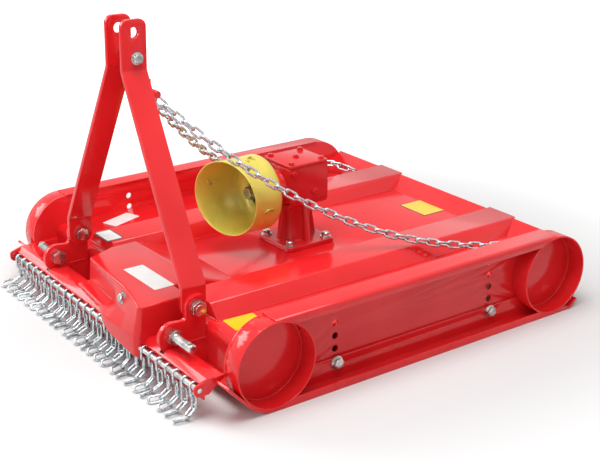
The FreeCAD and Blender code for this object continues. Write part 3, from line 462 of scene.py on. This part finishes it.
def set_out(tree, into, out, shape, axis, facing, turn, smooth):
    """Ends a tree: the shape set on every point, aimed along facing, turned about its axis."""
    aim = tree.nodes.new("FunctionNodeAlignRotationToVector")
    aim.axis = axis
    spin = tree.nodes.new("FunctionNodeAxisAngleToRotation")
    spin.inputs["Axis"].default_value = {"X": (1, 0, 0), "Z": (0, 0, 1)}[axis]
    both = tree.nodes.new("FunctionNodeRotateRotation")
    both.rotation_space = "LOCAL"
    setting = tree.nodes.new("GeometryNodeInstanceOnPoints")
    solid = tree.nodes.new("GeometryNodeRealizeInstances")
    shading = tree.nodes.new("GeometryNodeSetShadeSmooth")
    shading.inputs["Shade Smooth"].default_value = smooth
    painted = tree.nodes.new("GeometryNodeSetMaterial")
    for feed, socket in ((facing, aim.inputs["Vector"]), (turn, spin.inputs["Angle"]),
                         (aim.outputs[0], both.inputs[0]), (spin.outputs[0], both.inputs[1]),
                         (into.outputs["Geometry"], setting.inputs["Points"]),
                         (shape, setting.inputs["Instance"]),
                         (both.outputs[0], setting.inputs["Rotation"]),
                         (setting.outputs[0], solid.inputs[0]),
                         (solid.outputs[0], shading.inputs["Geometry"]),
                         (shading.outputs[0], painted.inputs["Geometry"]),
                         (into.outputs["Finish"], painted.inputs["Material"]),
                         (painted.outputs[0], out.inputs[0])):
        tree.links.new(feed, socket)
    return setting


across, tall = into.outputs["Across Flats"], into.outputs["Head Height"]
washer_r, washer_h = into.outputs["Washer Radius"], into.outputs["Washer Height"]
washer = gn.new("GeometryNodeMeshCylinder")
washer.inputs["Vertices"].default_value = 28
gl.new(washer_r, washer.inputs["Radius"])
gl.new(washer_h, washer.inputs["Depth"])
head = gn.new("GeometryNodeMeshCylinder")
head.inputs["Vertices"].default_value = 6
gl.new(worked(bolting, "DIVIDE", across, 1.7321), head.inputs["Radius"])
gl.new(worked(bolting, "MULTIPLY", tall, 0.86), head.inputs["Depth"])
crown = gn.new("GeometryNodeMeshCone")
crown.inputs["Vertices"].default_value = 30
gl.new(worked(bolting, "MULTIPLY", across, 0.5), crown.inputs["Radius Bottom"])
gl.new(worked(bolting, "MULTIPLY", across, 0.40), crown.inputs["Radius Top"])
gl.new(worked(bolting, "MULTIPLY", tall, 0.14), crown.inputs["Depth"])
joined = gn.new("GeometryNodeJoinGeometry")
gl.new(at_height(bolting, washer.outputs["Mesh"], worked(bolting, "MULTIPLY", washer_h, 0.5)),
       joined.inputs[0])
gl.new(at_height(bolting, head.outputs["Mesh"],
                 worked(bolting, "ADD", washer_h, worked(bolting, "MULTIPLY", tall, 0.43))),
       joined.inputs[0])
gl.new(at_height(bolting, crown.outputs["Mesh"],
                 worked(bolting, "ADD", washer_h, worked(bolting, "MULTIPLY", tall, 0.86))),
       joined.inputs[0])
turns = gn.new("FunctionNodeRandomValue")
turns.data_type = "FLOAT"
turns.inputs["Seed"].default_value = 11
turns.inputs[3].default_value = math.tau
set_out(bolting, into, out, joined.outputs[0], "Z", into.outputs["Direction"],
        turns.outputs[1], False)


def grown(name, tree, shape, values, body):
    """What a geometry tree makes of a mesh, as one plain piece, on a body if one is named."""
    piece = bpy.data.objects.new(name, shape)
    scene.collection.objects.link(piece)
    maker = piece.modifiers.new("Maker", "NODES")
    maker.node_group = tree
    for item in tree.interface.items_tree:
        if item.in_out == "INPUT" and item.name in values:
            maker[item.identifier] = values[item.name]
    made_real(piece)
    if body:
        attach(piece, body)
    return piece


def bolt_heads(name, spots, direction, across, height, washer, body, finish):
    """Hexagons standing on a surface at the given spots, on washers if these have a radius."""
    shape = bpy.data.meshes.new(name + " spots")
    shape.from_pydata([Vector(s) for s in spots], [], [])
    return grown(name, bolting, shape, {
        "Across Flats": across, "Head Height": height, "Washer Radius": washer,
        "Washer Height": 0.003 if washer else 0.0001, "Direction": Vector(direction),
        "Finish": finish}, body)


half_head, from_tip = 0.012, 0.013
for side, sign in (("left", 1), ("right", -1)):
    low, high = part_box("skid_bolts_" + side)
    rows = (low.y + half_head, high.y - half_head)
    height = (low.z + high.z) / 2
    outer = sign * (max(abs(low.x), abs(high.x)) - from_tip)
    inner = sign * (min(abs(low.x), abs(high.x)) + from_tip)
    heads = bolt_heads("Skid_bolts_" + side, [(outer, y, height) for y in rows], (sign, 0, 0),
                       across=0.024, height=0.0105, washer=0.0165, body="deck",
                       finish=bright_zinc)
    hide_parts("skid_bolts_" + side)
    nuts = bolt_heads("Skid_nuts_" + side, [(inner, y, height) for y in rows], (-sign, 0, 0),
                      across=0.024, height=0.0125, washer=0, body="deck", finish=bright_zinc)

# --- Hitch plates ---------------------------------------------------------------------------
# Two 13 mm profiled plates welded to the deck's front. They carry the mast at the top and the
# tractor's lower links below, and stand against the curtain's bracket.
bracket_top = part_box("curtain_bracket")[1].z
for side, sign in (("left", 1), ("right", -1)):
    broken_edges("hitch_plate_" + side, red_enamel, 0.0016, 3)
    low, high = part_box("hitch_plate_" + side)
    rear = high.y - 0.004
    run = 0.052
    weld_bead("Hitch_weld_" + side, [[(x, rear - run, bracket_top + 0.0015),
                                      (x, rear, bracket_top + 0.0015)]
                                     for x in (low.x, high.x)],
              0.0024, "deck", red_enamel)

# --- Link pins ------------------------------------------------------------------------------
# Turned 22 mm pins with a hexagon shoulder and a linch pin hole, screwed into the plates.
for side in ("left", "right"):
    broken_edges("link_pin_" + side, bright_zinc, 0.0006)

# --- Mast pivot bolts -----------------------------------------------------------------------
# M20 bolts with washers, on which the mast can tilt.
for side, sign in (("left", 1), ("right", -1)):
    broken_edges("mast_pivot_bolt_" + side, bright_zinc, 0.0008)
    low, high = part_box("mast_pivot_bolt_" + side)
    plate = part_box("hitch_plate_" + side)
    face = max(abs(plate[0].x), abs(plate[1].x)) * sign
    middle = (low + high) / 2
    washers = bolt_heads("Mast_pivot_washer_" + side, [(face, middle.y, middle.z)], (sign, 0, 0),
                         across=0.0300, height=0.0012, washer=0.0185, body="deck",
                         finish=bright_zinc)

# --- Mast legs ------------------------------------------------------------------------------
# Flat bars 65 by 12 mm, bent twice so that their tops stand parallel as the top link's ears.
for side in ("left", "right"):
    broken_edges("mast_leg_" + side, red_enamel, 0.0012, 3)

# --- Mast tie plate and ear bolt ------------------------------------------------------------
# A plate between the legs holds them apart and takes the stay chains' pin. The ears have a bolt
# through them under the top link's hole.
broken_edges("mast_tie_plate", red_enamel, 0.0010)
broken_edges("mast_ear_bolt", bright_zinc, 0.0006)
ear_low, ear_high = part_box("mast_ear_bolt")
ear_mid = (ear_low + ear_high) / 2
ear_face = 0.0431
ear_nut = bolt_heads("Mast_ear_washers", [(ear_face, ear_mid.y, ear_mid.z)], (1, 0, 0),
                     across=0.0225, height=0.0096, washer=0.0150, body="mast",
                     finish=bright_zinc)


def lathe(name, profile, origin, axis, turns, finish, body):
    """A solid of revolution: (distance along the axis, radius) pairs, closed at both ends."""
    axis = Vector(axis).normalized()
    side = axis.orthogonal().normalized()
    up = axis.cross(side)
    solid = bmesh.new()
    rings = []
    for along, radius in profile:
        middle = Vector(origin) + axis * along
        if radius < same_point:
            rings.append([solid.verts.new(middle)])
            continue
        rings.append([solid.verts.new(middle + (side * math.cos(k * math.tau / turns)
                                                + up * math.sin(k * math.tau / turns)) * radius)
                      for k in range(turns)])
    for near, far in zip(rings, rings[1:]):
        for k in range(turns):
            j = (k + 1) % turns
            corners = [near[k % len(near)], near[j % len(near)], far[j % len(far)],
                       far[k % len(far)]]
            corners = [c for i, c in enumerate(corners) if c not in corners[:i]]
            if len(corners) > 2:
                solid.faces.new(corners)
    for ring in (rings[0], rings[-1]):
        if len(ring) > 1:
            solid.faces.new(ring)
    bmesh.ops.recalc_face_normals(solid, faces=solid.faces)
    piece = built(name, solid, finish)
    piece.data.set_sharp_from_angle(angle=math.radians(40))
    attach(piece, body)


tie_low, tie_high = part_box("mast_tie_plate")
anchor_y = tie_high.y + 0.001
anchor_z = tie_low.z + 0.022
lathe("Stay_pin", [(-0.034, 0.0), (-0.034, 0.0085), (-0.032, 0.0095), (0.032, 0.0095),
                   (0.034, 0.0085), (0.034, 0.0)],
      (0, anchor_y, anchor_z), (1, 0, 0), 24, red_enamel, "mast")

# --- Nose cover -----------------------------------------------------------------------------
# A folded and welded hood of 4 mm sheet over the drive shaft's tunnel. Its front runs deeper
# towards the machine's left, and a low ledge carries on to the right over the bracket.
low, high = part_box("nose_cover")
front, top, near = low.y, high.z, high.x
back = front + 0.144
deck_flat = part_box("chain_lug_left")[0].z
tunnel_half = 0.157
tunnel_foot = deck_flat + 0.0005
stations = (
    # where across, top fold, foot of the wall, ledge's edge, edge's foot (behind front, height)
    (-tunnel_half, ((0.064, top), (0.069, 0.109), (0.037, 0.108), (0.037, 0.097))),
    (0.009, ((0.051, top), (0.058, 0.110), (0.022, 0.106), (0.022, 0.094))),
    (0.050, ((0.049, top), (0.042, 0.122), (0.003, 0.104), (0.003, 0.088))),
    (0.085, ((0.047, top), (0.030, 0.132), (0.000, 0.104), (0.000, 0.070))),
    (tunnel_half, ((0.034, top), (0.016, 0.138), (0.000, 0.104), (0.000, 0.061))),
    (near, ((0.010, top), (0.005, 0.140), (0.000, 0.104), (0.000, low.z))),
)
hood = bmesh.new()
columns = []
for x, profile in stations:
    fold_x = x + (0.035 if x < 0 else 0)
    wall_x = x + (0.017 if x < 0 else 0)
    ledge_x = x + (0.014 if x < 0 else 0)
    columns.append([hood.verts.new((x, back, top))]
                   + [hood.verts.new((across, front + behind, z)) for across, (behind, z)
                      in zip((fold_x, wall_x, ledge_x, ledge_x), profile)])
for left, right in zip(columns, columns[1:]):
    for k in range(4):
        hood.faces.new((left[k], left[k + 1], right[k + 1], right[k]))
near_column = columns[-1]
hood.faces.new(near_column + [hood.verts.new((near, back, low.z))])
far_column = columns[0]
hood.faces.new([far_column[0], hood.verts.new((far_column[0].co.x, back, 0.109)),
                far_column[2], far_column[1]])
tunnel = [hood.verts.new((x, back + behind, z)) for x, behind, z in (
    (tunnel_half, 0.070, top), (-tunnel_half, 0.070, top),
    (-tunnel_half, 0.190, tunnel_foot), (tunnel_half, 0.190, tunnel_foot),
    (tunnel_half, 0, tunnel_foot), (-tunnel_half, 0, tunnel_foot))]
hood.faces.new([c[0] for c in columns[:5]] + tunnel[:2])
hood.faces.new([tunnel[1], tunnel[0], tunnel[3], tunnel[2]])
hood.faces.new([columns[4][0], tunnel[4], tunnel[3], tunnel[0]])
hood.faces.new([columns[0][0], tunnel[1], tunnel[2], tunnel[5]])
bmesh.ops.recalc_face_normals(hood, faces=hood.faces)
if sum(f.normal.z * f.calc_area() for f in hood.faces) < 0:
    bmesh.ops.reverse_faces(hood, faces=hood.faces)
how_round = hood.edges.layers.float.new("bevel_weight_edge")
for edge in hood.edges:
    if len(edge.link_faces) < 2 or edge.calc_face_angle(0) < math.radians(9):
        continue
    ends = [v.co for v in edge.verts]
    on_near_corner = all(abs(e.x - near) < 0.001 and e.y < front + 0.02 for e in ends)
    edge[how_round] = 1.0 if on_near_corner else 0.30
nose = built("Nose_cover", hood, red_enamel)
rounded_off(nose, 0.016, 5, 30, weighted=True)
sheet = nose.modifiers.new("Sheet", "SOLIDIFY")
sheet.thickness = 0.004
sheet.offset = -1
rounded_off(nose, 0.0007, 2, 50).harden_normals = True
made_real(nose)
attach(nose, "deck")
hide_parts("nose_cover")
nose_bolt = bolt_heads("Nose_bolt", [(0.112, front + 0.034, 0.157)], (0, -0.95, 0.32),
                       across=0.019, height=0.009, washer=0.0135, body="deck",
                       finish=bright_zinc)

# --- Curtain bracket and rod ----------------------------------------------------------------
# A folded bracket across the front, notched round the hitch plates, with end plates that hold
# the 13 mm rod which every chain of the curtain hangs on.
broken_edges("curtain_bracket", red_enamel, 0.0009)
broken_edges("curtain_rod", bright_zinc, 0.0008)

# --- Chain curtain --------------------------------------------------------------------------
# Galvanised chain of 6 mm wire in 26 short strands, hooked over the rod. They stop stones
# thrown forward, and the last links lie on the ground in front of the machine.
galvanised = coated("Galvanised chain", plated, {
    "Mottle Scale": 180.0, "Brush Scale": 500.0, "Dullest": 0.42,
    "Colour": (0.74, 0.78, 0.79, 1), "Second Colour": (0.36, 0.42, 0.45, 1)},
    0.15, 0.0003, metallic=1.0)

# One link is a filleted loop of round wire, laid along each point's own direction.
linking = bpy.data.node_groups.new("Chain links", "GeometryNodeTree")
sockets(linking, "Geometry", ["Geometry"])
sockets(linking, "Float", ["Wire", "Pitch", "Across"])
sockets(linking, "Material", ["Finish"])
sockets(linking, "Geometry", ["Geometry"], "OUTPUT")
gn = linking.nodes
gl = linking.links
into = gn.new("NodeGroupInput")
out = gn.new("NodeGroupOutput")
wire, pitch, across = (into.outputs[n] for n in ("Wire", "Pitch", "Across"))
loop = gn.new("GeometryNodeCurvePrimitiveQuadrilateral")
round_end = gn.new("GeometryNodeFilletCurve")
round_end.mode = "POLY"
round_end.inputs["Count"].default_value = 5
section = gn.new("GeometryNodeCurvePrimitiveCircle")
section.inputs["Resolution"].default_value = 8
link = gn.new("GeometryNodeCurveToMesh")
narrow = worked(linking, "SUBTRACT", across, wire)
gl.new(worked(linking, "ADD", pitch, wire), loop.inputs["Width"])
gl.new(narrow, loop.inputs["Height"])
gl.new(loop.outputs[0], round_end.inputs["Curve"])
gl.new(worked(linking, "MULTIPLY", narrow, 0.49), round_end.inputs["Radius"])
gl.new(worked(linking, "MULTIPLY", wire, 0.5), section.inputs["Radius"])
gl.new(round_end.outputs[0], link.inputs["Curve"])
gl.new(section.outputs["Curve"], link.inputs["Profile Curve"])
stored = {}
for name, kind in (("along", "FLOAT_VECTOR"), ("roll", "FLOAT"), ("spread", "FLOAT")):
    stored[name] = gn.new("GeometryNodeInputNamedAttribute")
    stored[name].data_type = kind
    stored[name].inputs["Name"].default_value = name
widen = gn.new("ShaderNodeCombineXYZ")
widen.inputs["X"].default_value = 1
widen.inputs["Z"].default_value = 1
gl.new(stored["spread"].outputs[0], widen.inputs["Y"])
setting = set_out(linking, into, out, link.outputs[0], "X", stored["along"].outputs[0],
                  stored["roll"].outputs[0], True)
gl.new(widen.outputs[0], setting.inputs["Scale"])


def chained(name, links, wire, pitch, across, body):
    """A chain of (centre, direction, roll, spread) links as one plain mesh."""
    shape = bpy.data.meshes.new(name + " links")
    shape.from_pydata([link[0] for link in links], [], [])
    aims = shape.attributes.new("along", "FLOAT_VECTOR", "POINT")
    aims.data.foreach_set("vector", [part for link in links for part in link[1]])
    for place, stored_name in ((2, "roll"), (3, "spread")):
        values = shape.attributes.new(stored_name, "FLOAT", "POINT")
        values.data.foreach_set("value", [link[place] for link in links])
    return grown(name, linking, shape, {"Wire": wire, "Pitch": pitch, "Across": across,
                                        "Finish": galvanised}, body)


low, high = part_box("curtain_chains")
rod_low, rod_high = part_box("curtain_rod")
rod_y = (rod_low.y + rod_high.y) / 2
hung = rod_high.z + 0.0025 - 0.017
link_pitch = 0.029
end_play = 0.009
strand_count = 26
strand = (
    # off the rod, height, slope forward and down, lean aside, roll and its play, spread
    (0.0015, hung, (0.0, -1), 0.10, 0, 0.22, 1.16),
    (-0.001, hung - link_pitch, (-0.05, -1), 0.13, 90, 0.5, 1.0),
    (-0.009, 0.0179, (-0.83, -0.52), 0.20, 45, 0.2, 1.0),
)
sway = random.Random(26)
links = []
for i in range(strand_count):
    x = low.x + end_play + (high.x - low.x - 2 * end_play) * i / (strand_count - 1)
    for off_rod, z, slope, aside, turned, play, spread in strand:
        lean = sway.uniform(-aside, aside)
        links.append((Vector((x, rod_y + off_rod, z)), Vector((lean, *slope)).normalized(),
                      math.radians(turned) + sway.uniform(-play, play), spread))
        x += lean * link_pitch
    lean = sway.uniform(-0.25, 0.25)
    links.append((Vector((x, rod_y - 0.0355, 0.0088)), Vector((lean, -1, -0.02)).normalized(),
                  math.radians(sway.choice((-45, 45))), 1.0))
curtain = chained("Chain_curtain", links, wire=0.0060, pitch=link_pitch, across=0.0215,
                  body="deck")
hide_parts("curtain_chains")

# --- Gearbox --------------------------------------------------------------------------------
# A cast iron right-angle gearbox on a finned neck, painted over its rough skin, with a bolted
# cover, oil plugs and four flange bolts into the deck.
red_casting = coated("Red casting", sprayed, {
    "Peel Scale": 260.0, "Grain Scale": 620.0, "Grain Share": 0.6,
    "Colour": (0.66, 0.018, 0.022, 1), "Thin Colour": (0.54, 0.010, 0.014, 1)}, 0.35, 0.0006)
broken_edges("gearbox_housing", red_casting, 0.0024, 3)
broken_edges("gearbox_cover", red_casting, 0.0014, 2)
flange_top = deck_flat + 0.012
lid_low, lid_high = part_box("gearbox_cover")
axis_y = (lid_low.y + lid_high.y) / 2
screws = bmesh.new()
screws.from_mesh(nodes["gearbox_bolts"].data)
bmesh.ops.remove_doubles(screws, verts=screws.verts, dist=same_point)
reached = set()
fixings = []
for start in screws.verts:
    if start in reached:
        continue
    reached.add(start)
    found = [start]
    for vert in found:
        for edge in vert.link_edges:
            other = edge.other_vert(vert)
            if other not in reached:
                reached.add(other)
                found.append(other)
    least, most = ([pick(v.co[i] for v in found) for i in range(3)] for pick in (min, max))
    fixings.append(((least[0] + most[0]) / 2, (least[1] + most[1]) / 2, most[2]))
screws.free()
on_flange = [(x, y, flange_top) for x, y, z in fixings if z < lid_low.z - 0.1]
on_cover = [(x, y, lid_high.z) for x, y, z in fixings if z > lid_high.z]
flange_bolts = bolt_heads("Gearbox_flange_bolts", on_flange, (0, 0, 1), across=0.019,
                          height=0.0105, washer=0.0145, body="deck", finish=bright_zinc)
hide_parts("gearbox_bolts")
cover_screws = bolt_heads("Gearbox_cover_screws", on_cover, (0, 0, 1), across=0.0130,
                          height=0.0042, washer=0.0088, body="deck", finish=red_casting)
filler = bolt_heads("Gearbox_filler_plug", [(0, axis_y, lid_high.z)], (0, 0, 1), across=0.0120,
                    height=0.0045, washer=0.0095, body="deck", finish=red_casting)
side_face = 0.060
side_plugs = bolt_heads(
    "Gearbox_side_plugs", [(side_face, axis_y + 0.016, lid_low.z - 0.070),
                           (side_face, lid_low.y + 0.012, lid_low.z - 0.012)],
    (1, 0, 0), across=0.0150, height=0.0060, washer=0.0115, body="deck", finish=red_casting)

# --- Drive shield ---------------------------------------------------------------------------
# A pressed 3 mm steel bell round the drive stub, yellow passivated, with its mouth cut on the
# slant and four small lances for the clips of the drive shaft's own guard.
yellow = coated("Yellow passivated zinc", plated, {
    "Mottle Scale": 8.0, "Brush Scale": 9.0, "Dullest": 0.32,
    "Colour": (0.80, 0.60, 0.10, 1), "Second Colour": (0.58, 0.54, 0.09, 1)},
    0.0, 0.0002, metallic=0.12)
low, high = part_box("pto_guard")
centre_z = (low.z + high.z) / 2
radius = (high.z - low.z) / 2
slant = math.tan(math.radians(17))
mouth_y = low.y + radius * slant
round_rear = 0.026
bend_start = high.y - round_rear
rear_hole = 0.0235
bell = bmesh.new()
turns = 72
profile = [(high.y, rear_hole), (high.y, radius - round_rear)]
profile += [(high.y - round_rear * (1 - math.cos(t)), radius - round_rear * (1 - math.sin(t)))
            for t in (math.radians(15 * k) for k in range(1, 7))]
circle = [(math.cos(k * math.tau / turns), math.sin(k * math.tau / turns)) for k in range(turns)]
rings = [[(r * c, y, centre_z + r * s) for c, s in circle] for y, r in profile]
reach = 10
for step in range(1, reach + 1):
    r = radius * (1 - 0.012 * math.sin(math.pi * step / reach))
    rings.append([(r * c, bend_start + (mouth_y + r * c * slant - bend_start) * step / reach,
                   centre_z + r * s) for c, s in circle])
skinned(bell, [[bell.verts.new(p) for p in ring] for ring in rings])
bmesh.ops.recalc_face_normals(bell, faces=bell.faces)
outermost = max(bell.faces, key=lambda f: f.calc_center_median().z)
if outermost.normal.z < 0:
    bmesh.ops.reverse_faces(bell, faces=bell.faces)
shield = built("Drive_shield", bell, yellow)
wall = shield.modifiers.new("Sheet", "SOLIDIFY")
wall.thickness = 0.0028
wall.offset = -1
rounded_off(shield, 0.0010, 2, 50)
made_real(shield)
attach(shield, "deck")
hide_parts("pto_guard")

# The pale dished seat is inside the bell, against the gearbox's boss.
lathe("Shield_seat", [(0.0035, 0.070), (0.0050, 0.070), (0.0280, 0.034), (0.0280, 0.030),
                      (0.0035, 0.030)],
      (0, high.y, centre_z), (0, -1, 0), 48, bright_zinc, "deck")

# Each lance is a strip raised from the bell: ahead of the mouth, sideways and lift, in a hook.
hook = ((0.030, -0.006, 0.0), (0.030, 0.003, 0.0022), (0.036, 0.008, 0.0034),
        (0.045, 0.008, 0.0034), (0.050, 0.003, 0.0022), (0.050, -0.004, 0.0))
strip = ((0.0018, -0.0022), (0.0018, 0.0022), (-0.0035, 0.0022), (-0.0035, -0.0022))
lances = bmesh.new()
for angle, behind, outward in ((-12, 0.001, True), (78, 0.020, True), (168, 0.006, False),
                               (258, 0.020, True)):
    turn = math.radians(angle)
    out_from = Vector((math.cos(turn), 0, math.sin(turn)))
    aside = Vector((-math.sin(turn), 0, math.cos(turn)))
    mouth = mouth_y + radius * math.cos(turn) * slant
    wires = []
    for ahead, sideways, lift in hook:
        skin = radius + lift if outward else radius - 0.0015 - lift
        middle = (Vector((0, mouth + ahead + behind, centre_z)) + out_from * skin
                  + aside * sideways)
        wires.append([lances.verts.new(middle + out_from * a + Vector((0, b, 0)))
                      for a, b in strip])
    skinned(lances, wires)
    lances.faces.new(wires[0])
    lances.faces.new(wires[-1])
bmesh.ops.recalc_face_normals(lances, faces=lances.faces)
lance_piece = built("Shield_lances", lances, yellow)
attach(lance_piece, "deck")

# --- Drive stub -----------------------------------------------------------------------------
# The gearbox's splined input shaft, ground bright, which the tractor's drive shaft slides on.
machined = coated("Machined steel", plated, {
    "Mottle Scale": 90.0, "Brush Scale": 1400.0, "Dullest": 0.34,
    "Colour": (0.56, 0.57, 0.59, 1), "Second Colour": (0.38, 0.39, 0.41, 1)},
    0.12, 0.0002, metallic=1.0)
broken_edges("pto_shaft", machined, 0.0005)

# --- Stay chains ----------------------------------------------------------------------------
# Two long galvanised chains from the mast's tie plate to the lugs at the deck's rear corners.
# They take the deck's weight when the machine is lifted, and hang slack while it stands. A few
# spare links hang from the right lug.
slack = 0.118
link_count = 36
samples = 400
chain_roll = math.radians(38)
for side, sign in (("left", 1), ("right", -1)):
    lug_low, lug_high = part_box("chain_lug_" + side)
    foot = Vector(((lug_low.x + lug_high.x) / 2, lug_low.y + 0.003, lug_high.z - 0.012))
    head = Vector((sign * 0.0165, anchor_y + 0.004, anchor_z - 0.013))
    path = []
    for i in range(samples + 1):
        t = i / samples
        spot = head.lerp(foot, t)
        spot.z -= 4 * slack * t * (1 - t)
        path.append(spot)
    lengths = [0.0]
    for a, b in zip(path, path[1:]):
        lengths.append(lengths[-1] + (b - a).length)
    loose = random.Random(41 + sign)
    links = []
    for i in range(link_count):
        want = lengths[-1] * (i + 0.5) / link_count
        k = max(j for j in range(samples) if lengths[j] <= want)
        ahead = (path[k + 1] - path[k]).normalized()
        links.append((path[k].lerp(path[k + 1], 0.5), ahead,
                      math.radians(90 if i % 2 else 0) + chain_roll
                      + loose.uniform(-0.16, 0.16), 1.0))
    if sign < 0:
        spare = ((0.012, 0.018, 0.006), (0.030, 0.034, 0.004), (0.047, 0.047, -0.004),
                 (0.058, 0.068, -0.010))
        for k, step in enumerate(spare):
            links.append((foot + Vector(step), Vector((0.64, 0.74, -0.15 * k)).normalized(),
                          math.radians(90 if k % 2 else 0) + chain_roll, 1.0))
    stay = chained("Stay_chain_" + side, links, wire=0.0066, pitch=lengths[-1] / link_count,
                   across=0.0235, body=None)
    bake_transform(stay)
    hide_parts("stay_chain_" + side)

# --- Chain lugs -----------------------------------------------------------------------------
# Small plates welded to the deck's rear corners, with a cross pin that the stays hook on.
for side in ("left", "right"):
    broken_edges("chain_lug_" + side, red_enamel, 0.0010)

# --- Rotor ----------------------------------------------------------------------------------
# A hub under the gearbox carries a heavy painted bar, with a swinging blade on a bolt at each
# end. The blades are hardened flats, left bare.
for node in ("rotor_hub", "blade_carrier"):
    broken_edges(node, red_enamel, 0.0012)
for node in ("blade_1", "blade_2", "blade_bolts"):
    broken_edges(node, machined, 0.0006)

# --- Blank plates ---------------------------------------------------------------------------
# Vinyl stickers left without any printing: white and yellow, two of them with a black edge.
def vinyl(name, colour, second):
    """A satin film with slight uneven ink."""
    return coated(name, sprayed, {
        "Peel Scale": 700.0, "Drift Scale": 30.0, "Colour": colour, "Thin Colour": second},
        0.03, 0.0002)


white_film = vinyl("White vinyl", (0.80, 0.81, 0.79, 1), (0.74, 0.76, 0.74, 1))
yellow_film = vinyl("Yellow vinyl", (0.86, 0.60, 0.02, 1), (0.80, 0.54, 0.02, 1))
black_film = vinyl("Black vinyl", (0.035, 0.035, 0.037, 1), (0.025, 0.025, 0.027, 1))


def sticker(name, middle, size, height, turn, films, border):
    """A thin flat label with round corners, and a second film inside it where it has an edge."""
    corner = 0.003
    spin = Matrix.Rotation(math.radians(turn), 3, "Z")
    label = bmesh.new()
    for layer in range(len(films)):
        half_x = size[0] / 2 - border * layer
        half_y = size[1] / 2 - border * layer
        ring = []
        for sx, sy, begin in ((1, 1, 0), (-1, 1, 90), (-1, -1, 180), (1, -1, 270)):
            for k in range(4):
                t = math.radians(begin + 30 * k)
                ring.append((sx * (half_x - corner) + corner * math.cos(t),
                             sy * (half_y - corner) + corner * math.sin(t)))
        level = height + 0.0002 + 0.0003 * layer
        top, foot = ([label.verts.new(spin @ Vector((x, y, 0)) + Vector((*middle, z)))
                      for x, y in ring] for z in (level + 0.0003, level - 0.0004))
        faces = [label.faces.new(top), label.faces.new(list(reversed(foot)))]
        for k in range(len(ring)):
            j = (k + 1) % len(ring)
            faces.append(label.faces.new((foot[k], foot[j], top[j], top[k])))
        for face in faces:
            face.material_index = layer
    piece = built(name, label, *films)
    piece.data.shade_flat()
    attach(piece, "deck")


rib_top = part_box("deck_rib_right")[1].z
sticker("Plate_nose", (0.080, front + 0.122), (0.158, 0.054), top, 0, [white_film], 0)
sticker("Plate_right_flat", (-0.420, -0.246), (0.050, 0.100), deck_flat, 20, [white_film], 0)
sticker("Plate_right_rib", (-0.243, -0.375), (0.080, 0.050), rib_top, 0,
        [black_film, white_film], 0.004)
sticker("Plate_left_flat", (0.362, -0.340), (0.066, 0.080), deck_flat, -4, [yellow_film], 0)
sticker("Plate_rear", (0.012, 0.506), (0.112, 0.084), deck_flat, 0,
        [black_film, yellow_film], 0.003)
